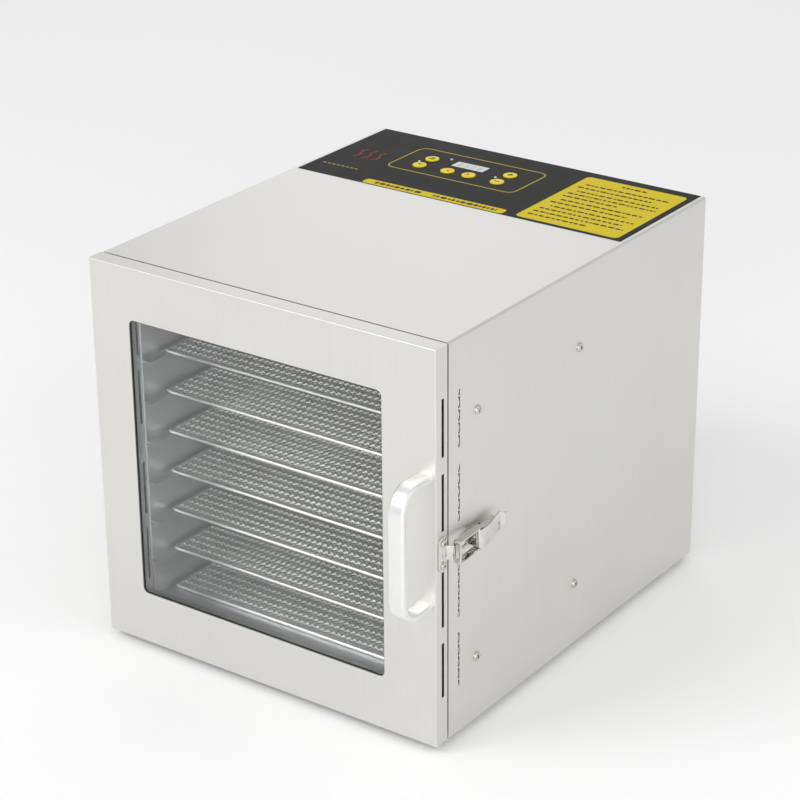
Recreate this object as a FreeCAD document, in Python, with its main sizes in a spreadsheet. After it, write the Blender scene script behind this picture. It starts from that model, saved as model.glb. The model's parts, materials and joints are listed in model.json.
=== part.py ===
"""Food dehydrator: a sheet-steel cabinet with a glazed door, eight sliding mesh trays, a fan and heater
behind a perforated baffle, and a control panel on the top.

Millimetres. +X is the latch side, +Y points to the back and +Z up. The origin is on the surface that the
feet stand on, under the middle of the whole machine.
"""
import FreeCAD
import Part
import math
import os
import re

Vector = FreeCAD.Vector
Rotation = FreeCAD.Rotation

# --------------------------------------------------------------------------- driving sizes

SIZES = [
    ("body_width", 334.0, "outside width of the cabinet and the door"),
    ("body_height", 335.0, "outside height of the cabinet, feet left out"),
    ("body_depth", 382.0, "outside depth of the cabinet behind the door"),
    ("sheet_steel", 0.8, "sheet of the casing"),
    ("liner_steel", 0.6, "sheet of the drying chamber"),
    ("bend_radius", 2.0, "outside radius of the casing's folds"),
    ("foot_height", 6.0, "rubber foot under the base"),
    ("foot_radius", 11.0, "rubber foot"),
    ("foot_inset", 42.0, "foot centre from the cabinet's sides"),
    ("chamber_width", 292.0, "inside width of the drying chamber"),
    ("chamber_ceiling", 318.0, "underside of the chamber ceiling above the cabinet's underside"),
    ("chamber_depth", 300.0, "cabinet front to the perforated baffle"),
    ("door_thick", 15.0, "door pan"),
    ("door_gap", 1.5, "door back to cabinet front"),
    ("seal_thick", 1.2, "door seal"),
    ("seal_width", 8.0, "door seal"),
    ("window_width", 246.0, "glazed opening"),
    ("window_height", 244.0, "glazed opening"),
    ("window_offset", -5.0, "middle of the opening from the door's middle"),
    ("window_bottom", 46.7, "lower edge of the opening above the cabinet's underside"),
    ("window_corner", 5.0, "corner radius of the opening"),
    ("glass_thick", 4.0, "tempered pane"),
    ("glass_overlap", 12.0, "pane behind the door's edge, all round"),
    ("gasket_thick", 1.2, "rubber between the pane and the pan"),
    ("gasket_proud", 0.8, "rubber that shows inside the opening"),
    ("handle_reach", 39.0, "grip's outer face in front of the door"),
    ("handle_length", 126.4, "handle from corner to corner, before the bends are rounded"),
    ("handle_width", 14.5, "flat bar of the handle"),
    ("handle_bar", 5.5, "thickness of the bar"),
    ("handle_bend", 24.0, "outside radius of the handle's bends"),
    ("handle_lean", 7.0, "foot of the handle inward of the corner"),
    ("handle_screw", 5.0, "length of the handle's screws"),
    ("handle_inset", 10.0, "handle's middle from the door's edge"),
    ("handle_bottom", 113.3, "lower corner of the handle above the cabinet's underside"),
    ("slot_length", 47.5, "air slot in the sides"),
    ("slot_width", 3.2, "air slot in the sides"),
    ("slot_middle", 167.3, "middle of the row of slots above the cabinet's underside"),
    ("slot_inner", 41.0, "inner slots' centres above and below the middle"),
    ("slot_outer", 102.3, "outer slots' centres above and below the middle"),
    ("door_slot_back", 9.0, "door slots behind the door's front"),
    ("body_slot_back", 13.6, "cabinet slots behind the cabinet's front"),
    ("side_screw_front", 38.5, "front side screws behind the cabinet's front"),
    ("side_screw_rear", 183.5, "rear side screws behind the cabinet's front"),
    ("side_screw_low", 56.0, "lower side screws above the cabinet's underside"),
    ("side_screw_high", 267.6, "upper side screws above the cabinet's underside"),
    ("screw_head", 3.9, "radius of a pan head"),
    ("screw_head_tall", 2.0, "height of a pan head"),
    ("screw_shank", 1.9, "radius of a screw's shank"),
    ("hole_play", 0.1, "radial clearance of a screw in its hole"),
    ("tray_depth", 250.0, "tray from front to back"),
    ("tray_play", 3.0, "tray to rack, each side"),
    ("tray_front", 40.0, "tray front behind the cabinet's front"),
    ("tray_rim", 3.0, "width of the tray's rim"),
    ("rim_tall", 3.0, "height of the tray's rim"),
    ("mesh_height", 1.0, "mesh above the rim's underside"),
    ("tray_mesh", 1.0, "thickness of the tray's mesh"),
    ("mesh_bar", 2.0, "bar between two openings of the tray's mesh"),
    ("first_tray", 24.0, "middle of the lowest tray above the cabinet's underside"),
    ("tray_pitch", 36.3, "tray spacing"),
    ("ledge_width", 9.0, "rack ledge under a tray's edge"),
    ("ledge_thick", 1.2, "rack ledge"),
    ("ledge_play", 0.4, "tray to the ledge or floor below it"),
    ("hinge_radius", 4.0, "hinge knuckle"),
    ("hinge_pin", 2.0, "radius of the hinge pin"),
    ("hinge_play", 0.05, "radial clearance of the pin in the door's knuckle"),
    ("hinge_out", 4.5, "hinge axis outside the cabinet's side"),
    ("hinge_leaf", 1.5, "thickness of a hinge leaf"),
    ("hinge_height", 30.0, "length of a hinge"),
    ("hinge_reach", 24.0, "fixed leaf behind the hinge axis"),
    ("door_leaf_reach", 13.0, "door leaf in front of the hinge axis"),
    ("hinge_low", 22.0, "lower hinge's middle above the cabinet's underside"),
    ("hinge_high", 313.0, "upper hinge's middle above the cabinet's underside"),
    ("hinge_screw_apart", 20.0, "screws of one leaf"),
    ("knuckle_gap", 0.3, "end clearance between knuckles"),
    ("latch_height", 166.0, "latch's middle above the cabinet's underside"),
    ("latch_pivot_back", 29.5, "latch pivot behind the cabinet's front"),
    ("latch_pivot_out", 6.5, "latch pivot outside the cabinet's side"),
    ("latch_pin", 1.4, "radius of the latch's pivot pin"),
    ("latch_play", 0.05, "radial clearance of the latch's pivots"),
    ("latch_sheet", 1.2, "sheet of the latch"),
    ("latch_ear", 5.0, "outside of the base's ears from the latch's middle"),
    ("link_out", -2.0, "bail pivot outward of the lever pivot"),
    ("link_back", 6.0, "bail pivot behind the lever pivot"),
    ("bail_wire", 0.8, "radius of the bail's wire"),
    ("bail_half", 8.2, "bail's side wires from the latch's middle"),
    ("bail_reach", 41.0, "bail's front bar in front of its pivot"),
    ("bail_out", 7.2, "bail's front bar outside the cabinet's side"),
    ("strike_tall", 29.0, "strike plate"),
    ("strike_wide", 11.0, "strike plate"),
    ("strike_middle", 7.8, "strike plate's middle behind the door's front"),
    ("strike_lip", 5.4, "strike's lip outside the door's side"),
    ("fan_radius", 72.0, "impeller"),
    ("fan_blade_deep", 20.0, "impeller blades along the axis"),
    ("fan_height", 167.0, "fan axis above the cabinet's underside"),
    ("shaft_radius", 3.0, "fan shaft"),
    ("shaft_play", 0.05, "radial clearance of the fan shaft in the motor"),
    ("motor_radius", 30.0, "fan motor"),
    ("motor_length", 34.0, "fan motor"),
    ("heater_radius", 94.0, "heating element's ring"),
    ("heater_tube", 4.0, "radius of the element's sheath"),
    ("panel_film", 0.3, "control panel's film"),
    ("panel_front", 250.0, "film's front edge behind the cabinet's front"),
    ("panel_margin", 4.5, "film's side and rear edges inside the cabinet's"),
    ("button_radius", 6.2, "control button"),
    ("button_play", 0.3, "button to its hole"),
    ("button_proud", 0.9, "button above the film"),
    ("button_travel", 0.6, "button stroke"),
    ("display_width", 32.4, "display window"),
    ("display_deep", 12.6, "display window"),
    ("display_side", -39.4, "display's middle from the cabinet's middle"),
    ("display_back", 335.2, "display's middle behind the cabinet's front"),
    ("board_drop", 9.0, "control board below the top sheet"),
    ("board_thick", 1.6, "circuit boards"),
    ("gland_radius", 7.0, "cord inlet bush"),
    ("gland_bore", 3.6, "cord inlet bush"),
    ("gland_reach", 6.0, "cord inlet bush behind the back panel"),
    ("gland_side", 120.0, "cord inlet from the cabinet's middle"),
    ("gland_height", 40.0, "cord inlet above the cabinet's underside"),
]
TRAYS = 8
# Middle of each button: right of the cabinet's middle, behind the cabinet's front.
BUTTONS = {
    "menu": (-78.5, 333.5),
    "down": (-78.7, 314.2),
    "left": (-49.5, 314.6),
    "right": (-28.0, 315.2),
    "minus": (1.7, 314.5),
    "plus": (2.0, 334.8),
}

doc = FreeCAD.newDocument("food_dehydrator")
sheet = doc.addObject("Spreadsheet::Sheet", "Sizes")
for row, (alias, number, note) in enumerate(SIZES, start=1):
    sheet.set(f"A{row}", note)
    sheet.set(f"B{row}", str(number))
    sheet.setAlias(f"B{row}", alias)
doc.recompute()
ALIASES = {alias for alias, _, _ in SIZES}
nodes = []

# Places that many pieces share, as formulas of the sheet's sizes.
SIDE = "body_width / 2"
DOOR_FRONT = "(handle_reach - door_thick - door_gap - body_depth - gland_reach) / 2"
DOOR_BACK = f"({DOOR_FRONT} + door_thick)"
FRONT = f"({DOOR_BACK} + door_gap)"
BACK = f"({FRONT} + body_depth)"
BAFFLE = f"({FRONT} + chamber_depth)"
TOP = "(foot_height + body_height)"
FLOOR = "(foot_height + first_tray - rim_tall / 2 - ledge_play)"
CEILING = "(foot_height + chamber_ceiling)"
HINGE_X = f"(-{SIDE} - hinge_out)"
HINGE_Y = f"({DOOR_BACK} + door_gap / 2)"
LATCH_X = f"({SIDE} + latch_pivot_out)"
LATCH_Y = f"({FRONT} + latch_pivot_back)"
LATCH_Z = "(foot_height + latch_height)"
LINK_X = f"({LATCH_X} + link_out)"
LINK_Y = f"({LATCH_Y} + link_back)"
FAN_Z = "(foot_height + fan_height)"


# --------------------------------------------------------------------------- helpers

def size(formula):
    """The number that a formula of sheet sizes gives."""
    values = {alias: float(sheet.get(alias)) for alias in set(re.findall(r"[a-z_]+", formula))}
    for alias, number in values.items():
        formula = re.sub(rf"\b{alias}\b", f"({number})", formula)
    return float(FreeCAD.Units.Quantity(formula).Value)


def bind(item, prop, formula):
    """Ties a property to a formula of sheet sizes."""
    def full_name(word):
        return f"Sizes.{word.group(0)}" if word.group(0) in ALIASES else word.group(0)

    item.setExpression(prop, re.sub(r"[a-z_]+", full_name, str(formula)))


def place(item, x, y, z):
    bind(item, "Placement.Base.x", x)
    bind(item, "Placement.Base.y", y)
    bind(item, "Placement.Base.z", z)
    return item


def box(name, x, y, z):
    """A block between (low, high) formulas along each axis."""
    item = doc.addObject("Part::Box", name)
    for prop, (low, high) in zip(("Length", "Width", "Height"), (x, y, z)):
        bind(item, prop, f"({high}) - ({low})")
    return place(item, x[0], y[0], z[0])


TURNS = {
    "x": Rotation(Vector(0, 1, 0), 90),
    "y": Rotation(Vector(1, 0, 0), -90),
    "z": Rotation(),
}


def rod(name, axis, radius, length, x, y, z):
    """A cylinder that starts at a point and runs along +X, +Y or +Z."""
    item = doc.addObject("Part::Cylinder", name)
    item.Placement = FreeCAD.Placement(Vector(), TURNS[axis])
    bind(item, "Radius", radius)
    bind(item, "Height", length)
    return place(item, x, y, z)


def fuse(name, items):
    item = doc.addObject("Part::MultiFuse", name)
    item.Shapes = items
    item.Refine = True
    return item


def group(name, items):
    """Separate solids kept together, such as a set of screws."""
    item = doc.addObject("Part::Compound", name)
    item.Links = items
    return item


def cut(name, base, tools):
    item = doc.addObject("Part::Cut", name)
    item.Base = base
    item.Tool = tools[0] if len(tools) == 1 else group(name + "_tools", tools)
    return item


def rounded(name, base, radius, chosen):
    """Rounds the edges of a piece that the test chooses."""
    doc.recompute()
    item = doc.addObject("Part::Fillet", name)
    item.Base = base
    round_by = size(radius)
    edges = enumerate(base.Shape.Edges, start=1)
    item.Edges = [(i, round_by, round_by) for i, edge in edges if chosen(edge)]
    return item


def along(axis):
    """Chooses straight edges that run along an axis."""
    direction = {"x": Vector(1, 0, 0), "y": Vector(0, 1, 0), "z": Vector(0, 0, 1)}[axis]

    def chosen(edge):
        if not isinstance(edge.Curve, Part.Line):
            return False
        return abs(edge.Curve.Direction.dot(direction)) > 0.999

    return chosen


def part(node, item):
    """Marks a finished piece: its label names its file."""
    item.Label = node
    nodes.append(item)
    return item


def drilled(name, base, axis, radius, length, centres):
    """A piece with round holes through it, at (x, y, z) start points."""
    drills = [rod(f"{name}_drill_{i}", axis, radius, length, *at) for i, at in enumerate(centres)]
    return cut(name, base, drills)


SHANK_HOLE = "screw_shank + hole_play"


def screw_row(name, axis, way, length, centres, head="screw_head"):
    """Pan-head screws with heads seated at the centres and shanks along way (+1 or -1) of an axis."""
    solids = []
    spot = "xyz".index(axis)
    for i, at in enumerate(centres):
        low = list(at)
        low[spot] = f"{at[spot]} - {length}" if way < 0 else at[spot]
        shank = rod(f"{name}_shank_{i}", axis, "screw_shank", length, *low)
        low[spot] = f"{at[spot]} - screw_head_tall" if way > 0 else at[spot]
        cap = rod(f"{name}_head_{i}", axis, head, "screw_head_tall", *low)
        solids.append(fuse(f"{name}_{i}", [shank, cap]))
    return solids


def screws(node, *row, **head):
    """One row of screws as a finished piece."""
    return part(node, group(node, screw_row(node, *row, **head)))


# --------------------------------------------------------------------------- casing

def slot_heights():
    middle = "(foot_height + slot_middle)"
    return [f"({middle} {sign} {offset})" for offset in ("slot_outer", "slot_inner") for sign in "-+"]


def side_slots(name, side, wall_low, wall_high, middle_y):
    """Four tall slots through a side wall."""
    cutters = []
    for i, height in enumerate(slot_heights()):
        cutters.append(box(
            f"{name}_slot_{i}",
            (f"{side} * ({wall_low})", f"{side} * ({wall_high})") if side > 0
            else (f"{side} * ({wall_high})", f"{side} * ({wall_low})"),
            (f"{middle_y} - slot_width / 2", f"{middle_y} + slot_width / 2"),
            (f"{height} - slot_length / 2", f"{height} + slot_length / 2"),
        ))
    return cutters


def side_screw_places(x):
    return [
        (x, f"{FRONT} + {y}", f"foot_height + {z}")
        for y in ("side_screw_front", "side_screw_rear")
        for z in ("side_screw_low", "side_screw_high")
    ]


def hinge_screw_places(x, y):
    return [
        (x, y, f"foot_height + {middle} {offset}")
        for middle in ("hinge_low", "hinge_high")
        for offset in ("- hinge_screw_apart / 2", "+ hinge_screw_apart / 2")
    ]


LATCH_RIVET_Y = f"({LATCH_Y} - 6)"
LATCH_RIVETS = [(SIDE, LATCH_RIVET_Y, LATCH_Z), (SIDE, f"({LATCH_Y} + 9)", LATCH_Z)]
FIXED_SCREW_Y = f"({HINGE_Y} + hinge_reach - 8)"
BODY_SLOT_Y = f"({FRONT} + body_slot_back)"


def casing():
    """The wrap of the top and both sides, folded from one sheet and open below, in front and behind."""
    outside = rounded(
        "wrap_outside",
        box("wrap_block", (f"-{SIDE}", SIDE), (FRONT, BACK), ("foot_height", TOP)),
        "bend_radius",
        lambda edge: along("y")(edge) and edge.CenterOfMass.z > size("foot_height + body_height / 2"),
    )
    inside = box(
        "wrap_inside",
        (f"-{SIDE} + sheet_steel", f"{SIDE} - sheet_steel"),
        (f"{FRONT} - 1", f"{BACK} + 1"),
        ("foot_height - 1", f"{TOP} - sheet_steel"),
    )
    cutters = []
    for side, label in ((-1, "left"), (1, "right")):
        wall = (f"{SIDE} - 2 * sheet_steel", f"{SIDE} + 1")
        cutters += side_slots(f"wrap_{label}", side, *wall, BODY_SLOT_Y)
        low = f"{side} * {SIDE} - 3"
        for i, at in enumerate(side_screw_places(low)):
            cutters.append(rod(f"wrap_{label}_screw_{i}", "x", SHANK_HOLE, "6", *at))
    for i, at in enumerate(hinge_screw_places(f"-{SIDE} - 3", FIXED_SCREW_Y)):
        cutters.append(rod(f"wrap_hinge_{i}", "x", SHANK_HOLE, "6", *at))
    for i, (_, y, z) in enumerate(LATCH_RIVETS):
        cutters.append(rod(f"wrap_latch_{i}", "x", SHANK_HOLE, "6", f"{SIDE} - 3", y, z))
    for name, (x, y) in BUTTONS.items():
        at = (x, f"{FRONT} + {y}", f"{TOP} - 3")
        hole = rod(f"wrap_{name}", "z", "button_radius + button_play", "6", *at)
        cutters.append(hole)
    cutters.append(display_block("wrap_display", f"{TOP} - 3", f"{TOP} + 3"))
    folded = cut("wrap_folded", outside, [inside])
    return part("outer_shell", cut("outer_shell", folded, cutters))


def display_block(name, low, high):
    middle = f"({FRONT} + display_back)"
    return box(
        name,
        ("display_side - display_width / 2", "display_side + display_width / 2"),
        (f"{middle} - display_deep / 2", f"{middle} + display_deep / 2"),
        (low, high),
    )


def inner_x():
    return f"-{SIDE} + sheet_steel", f"{SIDE} - sheet_steel"


def foot_places(z):
    return [
        (f"{sx} * ({SIDE} - foot_inset)", y, z)
        for sx in (-1, 1)
        for y in (f"{FRONT} + foot_inset", f"{BACK} - foot_inset")
    ]


def base():
    plate = box("base_sheet", inner_x(), (FRONT, BACK), ("foot_height", "foot_height + sheet_steel"))
    holes = foot_places("foot_height - 1")
    part("base_plate", drilled("base_plate", plate, "z", SHANK_HOLE, "4", holes))
    feet = []
    for i, at in enumerate(foot_places("0")):
        doc.recompute()
        pad = rod(f"foot_{i}", "z", "foot_radius", "foot_height", *at)
        soft = rounded(
            f"foot_round_{i}", pad, "foot_height / 4",
            lambda edge: isinstance(edge.Curve, Part.Circle) and edge.CenterOfMass.z < 0.1,
        )
        stud = rod(f"foot_stud_{i}", "z", "screw_shank", "foot_height + sheet_steel + 3", at[0], at[1], "1")
        feet.append(fuse(f"foot_body_{i}", [soft, stud]))
    return part("rubber_feet", group("rubber_feet", feet))


def back():
    """The rear sheet, with the fan's inlet grille and the cord's bush."""
    sheet_y = (f"{BACK} - sheet_steel", BACK)
    z = ("foot_height + sheet_steel", f"{TOP} - sheet_steel")
    panel = box("back_sheet", inner_x(), sheet_y, z)
    holes = []
    for ring in range(1, 5):
        count = 6 * ring
        for i in range(count):
            angle = 2 * math.pi * i / count
            holes.append((
                f"{12 * ring * math.cos(angle):.3f}",
                f"{BACK} - 3",
                f"{FAN_Z} + {12 * ring * math.sin(angle):.3f}",
            ))
    grille = drilled("back_grille", panel, "y", "3.2", "6", holes)
    edge_holes = [(x, f"{BACK} - 3", z) for x, _, z in back_screw_places()]
    pierced = drilled("back_edges", grille, "y", SHANK_HOLE, "6", edge_holes)
    gland_hole = [("gland_side", f"{BACK} - 3", GLAND_Z)]
    part("back_panel", drilled("back_panel", pierced, "y", "gland_radius", "6", gland_hole))
    bush = rod("gland_bush", "y", "gland_radius", "gland_reach + 6", "gland_side", f"{BACK} - 6", GLAND_Z)
    collar = rod("gland_collar", "y", "gland_radius + 2.5", "2", "gland_side", BACK, GLAND_Z)
    body = fuse("gland_body", [bush, collar])
    bore = [("gland_side", f"{BACK} - 7", GLAND_Z)]
    part("cord_gland", drilled("cord_gland", body, "y", "gland_bore", "gland_reach + 8", bore))
    return screws("back_screws", "y", -1, "7", back_screw_places())


GLAND_Z = "(foot_height + gland_height)"


def back_screw_places():
    columns = (f"-{SIDE} + 16", f"{SIDE} - 16")
    rows = ("foot_height + 14", "foot_height + body_height / 2", f"{TOP} - 14")
    return [(x, BACK, z) for x in columns for z in rows]


def front_frame():
    """The face between the casing and the chamber's mouth."""
    plate = box(
        "face_sheet", inner_x(), (FRONT, f"{FRONT} + sheet_steel"),
        ("foot_height + sheet_steel", f"{TOP} - sheet_steel"),
    )
    mouth = box(
        "face_mouth", ("-chamber_width / 2", "chamber_width / 2"),
        (f"{FRONT} - 1", f"{FRONT} + sheet_steel + 1"), (FLOOR, CEILING),
    )
    return part("front_frame", cut("front_frame", plate, [mouth]))


# --------------------------------------------------------------------------- drying chamber

CHAMBER_Y = (f"{FRONT} + sheet_steel", BAFFLE)
CHAMBER_SIDE = "chamber_width / 2"


def liner():
    """Four separate sheets round the chamber."""
    z = (FLOOR, CEILING)
    for side, label in ((-1, "left"), (1, "right")):
        near, far = CHAMBER_SIDE, f"{CHAMBER_SIDE} + liner_steel"
        x = (near, far) if side > 0 else (f"-({far})", f"-({near})")
        wall = box(f"liner_wall_{label}", x, CHAMBER_Y, z)
        slots = side_slots(f"liner_{label}", side, f"{near} - 1", f"{far} + 1", BODY_SLOT_Y)
        part(f"liner_{label}", cut(f"liner_{label}", wall, slots))
    wide = (f"-({CHAMBER_SIDE} + liner_steel)", f"{CHAMBER_SIDE} + liner_steel")
    part("liner_floor", box("liner_floor", wide, CHAMBER_Y, (f"{FLOOR} - liner_steel", FLOOR)))
    part("liner_ceiling", box("liner_ceiling", wide, CHAMBER_Y, (CEILING, f"{CEILING} + liner_steel")))


PROBE_X = "100"
PROBE_Z = f"({CEILING} - 14)"


def baffle():
    """The perforated wall between the fan and the trays."""
    wall = box(
        "baffle_sheet", inner_x(), (BAFFLE, f"{BAFFLE} + liner_steel"),
        ("foot_height + sheet_steel", f"{TOP} - sheet_steel"),
    )
    slots = []
    columns, rows = 9, TRAYS
    for column in range(columns):
        middle = f"chamber_width * {(column - (columns - 1) / 2) / columns:.5f}"
        for row in range(rows):
            height = f"foot_height + first_tray + tray_pitch * {row + 0.5}"
            slots.append(box(
                f"baffle_slot_{column}_{row}", (f"{middle} - 11", f"{middle} + 11"),
                (f"{BAFFLE} - 1", f"{BAFFLE} + 2"), (f"{height} - 2.5", f"{height} + 2.5"),
            ))
    pierced = cut("baffle_pierced", wall, slots)
    probe_hole = [(PROBE_X, f"{BAFFLE} - 1", PROBE_Z)]
    part("air_baffle", drilled("air_baffle", pierced, "y", "2.6", "4", probe_hole))
    tip = rod("probe_tip", "y", "2.5", "28", PROBE_X, f"{BAFFLE} - 16", PROBE_Z)
    nut = rod("probe_nut", "y", "5", "3", PROBE_X, f"{BAFFLE} + liner_steel", PROBE_Z)
    return part("temperature_probe", fuse("temperature_probe", [tip, nut]))


def racks():
    """A ledge panel on each side of the chamber; the lowest tray lies on the chamber floor instead."""
    for side, label in ((-1, "left"), (1, "right")):
        outer, inner = CHAMBER_SIDE, f"{CHAMBER_SIDE} - sheet_steel"
        x = (inner, outer) if side > 0 else (f"-({outer})", f"-({inner})")
        y = (f"{FRONT} + 18", f"{BAFFLE} - 4")
        panel = box(f"rack_panel_{label}", x, y, (f"{FLOOR} + 1", f"{CEILING} - 6"))
        pieces = [panel]
        reach = f"{inner} - ledge_width"
        for tray in range(1, TRAYS):
            top = f"(foot_height + first_tray + tray_pitch * {tray} - rim_tall / 2 - ledge_play)"
            span = (reach, outer) if side > 0 else (f"-({outer})", f"-({reach})")
            pieces.append(box(f"ledge_{label}_{tray}", span, y, (f"{top} - ledge_thick", top)))
        part(f"tray_rack_{label}", fuse(f"tray_rack_{label}", pieces))


def posts():
    """Folded uprights between the casing and the liner that the side screws enter."""
    uprights = []
    for side in (-1, 1):
        for place_y in ("side_screw_front", "side_screw_rear"):
            near, far = f"{CHAMBER_SIDE} + liner_steel", f"{SIDE} - sheet_steel"
            x = (near, far) if side > 0 else (f"-({far})", f"-({near})")
            hollow_x = (near, f"{far} - sheet_steel")
            hollow = hollow_x if side > 0 else (f"-({hollow_x[1]})", f"-({hollow_x[0]})")
            middle = f"{FRONT} + {place_y}"
            name = f"post_{side + 1}_{place_y}"
            z = (FLOOR, CEILING)
            block = box(name + "_block", x, (f"{middle} - 8", f"{middle} + 8"), z)
            space = box(
                name + "_hollow", hollow, (f"{middle} - 8 + sheet_steel", f"{middle} + 8 - sheet_steel"),
                (f"{z[0]} - 1", f"{z[1]} + 1"),
            )
            channel = cut(name + "_channel", block, [space])
            start = f"{side} * ({SIDE} - 4) - 4"
            levels = ("side_screw_low", "side_screw_high")
            holes = [(start, middle, f"foot_height + {level}") for level in levels]
            if side > 0 and place_y == "side_screw_front":
                holes += [(start, y, z) for _, y, z in LATCH_RIVETS]
            uprights.append(drilled(name, channel, "x", SHANK_HOLE, "8", holes))
    part("side_posts", group("side_posts", uprights))
    left = screw_row("screw_left", "x", 1, "8", side_screw_places(f"-{SIDE}"))
    right = screw_row("screw_right", "x", -1, "8", side_screw_places(SIDE))
    return part("side_screws", group("side_screws", left + right))


def vent_meshes():
    """A strip of fine mesh behind each row of slots in the casing."""
    for side, label in ((-1, "left"), (1, "right")):
        near, far = f"{SIDE} - sheet_steel - 0.6", f"{SIDE} - sheet_steel"
        x = (near, far) if side > 0 else (f"-({far})", f"-({near})")
        part(f"vent_mesh_{label}", box(
            f"vent_mesh_{label}", x, (f"{BODY_SLOT_Y} - 6", f"{BODY_SLOT_Y} + 6"),
            ("foot_height + slot_middle - slot_outer - slot_length / 2 - 5",
             "foot_height + slot_middle + slot_outer + slot_length / 2 + 5"),
        ))


def tray_shape():
    """A bar rim with a mesh sheet across its underside, its front left corner at the origin."""
    wide = size("chamber_width - 2 * sheet_steel - 2 * tray_play")
    deep = size("tray_depth")
    rim, tall = size("tray_rim"), size("rim_tall")
    bar, thick, level = size("mesh_bar"), size("tray_mesh"), size("mesh_height")
    frame = Part.makeBox(wide, deep, tall).cut(
        Part.makeBox(wide - 2 * rim, deep - 2 * rim, tall, Vector(rim, rim, 0)))
    columns, rows = 12, 11
    open_x = (wide - 2 * rim - (columns - 1) * bar) / columns
    open_y = (deep - 2 * rim - (rows - 1) * bar) / rows
    sheet_face = Part.makePlane(wide - 2 * rim, deep - 2 * rim, Vector(rim, rim, level))
    holes = []
    for column in range(columns):
        for row in range(rows):
            corner = Vector(rim + column * (open_x + bar), rim + row * (open_y + bar), level)
            holes.append(Part.makePlane(open_x, open_y, corner).OuterWire)
    face = Part.makeFace([sheet_face.OuterWire] + holes, "Part::FaceMakerBullseye")
    mesh = face.extrude(Vector(0, 0, thick))
    return frame.fuse(mesh).removeSplitter()


def trays():
    shape = tray_shape()
    for tray in range(TRAYS):
        item = doc.addObject("Part::Feature", f"tray_{tray + 1}")
        item.Shape = shape
        place(
            item, "-(chamber_width / 2 - sheet_steel - tray_play)", f"{FRONT} + tray_front",
            f"foot_height + first_tray + tray_pitch * {tray} - rim_tall / 2",
        )
        part(f"tray_{tray + 1}", item)


# --------------------------------------------------------------------------- fan and heater

FAN_FRONT = f"({BAFFLE} + 14)"
MOTOR_FRONT = f"({FAN_FRONT} + fan_blade_deep + 8)"


def fan():
    hub = rod("fan_hub", "y", "12", "fan_blade_deep", "0", FAN_FRONT, FAN_Z)
    shaft_length = "fan_blade_deep + 8 + motor_length / 2"
    shaft = rod("fan_shaft", "y", "shaft_radius", shaft_length, "0", FAN_FRONT, FAN_Z)
    plate = rod("fan_disc", "y", "fan_radius", "1.2", "0", f"{FAN_FRONT} + fan_blade_deep - 1.2", FAN_Z)
    blades = []
    count = 9
    for i in range(count):
        blade = box(f"fan_blade_{i}", ("10", "fan_radius"), ("0", "fan_blade_deep"), ("-0.6", "0.6"))
        turn = Rotation(Vector(0, 1, 0), 360.0 * i / count)
        holder = group(f"fan_blade_at_{i}", [blade])
        holder.Placement = FreeCAD.Placement(Vector(), turn)
        blades.append(place(holder, "0", FAN_FRONT, FAN_Z))
    part("fan_impeller", fuse("fan_impeller", [hub, shaft, plate] + blades))
    can = rod("motor_can", "y", "motor_radius", "motor_length", "0", MOTOR_FRONT, FAN_Z)
    bore = [("0", f"{MOTOR_FRONT} - 1", FAN_Z)]
    motor = drilled("fan_motor", can, "y", "shaft_radius + shaft_play", "motor_length / 2 + 2", bore)
    part("fan_motor", motor)
    strap_y = (f"{MOTOR_FRONT} + motor_length", f"{MOTOR_FRONT} + motor_length + 1.5")
    strap = box("bracket_strap", ("-15", "15"), strap_y, (f"{FAN_Z} - 110", f"{FAN_Z} + 110"))
    legs = []
    for i, sign in enumerate((-1, 1)):
        near, far = f"{FAN_Z} + {sign} * 108.5", f"{FAN_Z} + {sign} * 110"
        z = (near, far) if sign > 0 else (far, near)
        legs.append(box(f"bracket_leg_{i}", ("-15", "15"), (strap_y[0], f"{BACK} - sheet_steel"), z))
    return part("motor_bracket", fuse("motor_bracket", [strap] + legs))


END_OFFSET = 25


def heater():
    """A sheathed ring round the impeller, on two cold ends that reach the back panel."""
    middle_y = f"({FAN_FRONT} + fan_blade_deep / 2)"
    ring = doc.addObject("Part::Torus", "heater_ring")
    ring.Placement = FreeCAD.Placement(Vector(), TURNS["y"])
    bind(ring, "Radius1", "heater_radius")
    bind(ring, "Radius2", "heater_tube")
    place(ring, "0", middle_y, FAN_Z)
    ends = []
    for i, side in enumerate((-1, 1)):
        end_z = f"{FAN_Z} - sqrt(heater_radius * heater_radius - {END_OFFSET * END_OFFSET})"
        length = f"{BACK} - sheet_steel - {middle_y}"
        ends.append(rod(f"heater_end_{i}", "y", "3", length, f"{side * END_OFFSET}", middle_y, end_z))
    return part("heating_element", fuse("heating_element", [ring] + ends))


# --------------------------------------------------------------------------- electronics and control panel

BOARD_TOP = f"({TOP} - sheet_steel - board_drop)"


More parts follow.
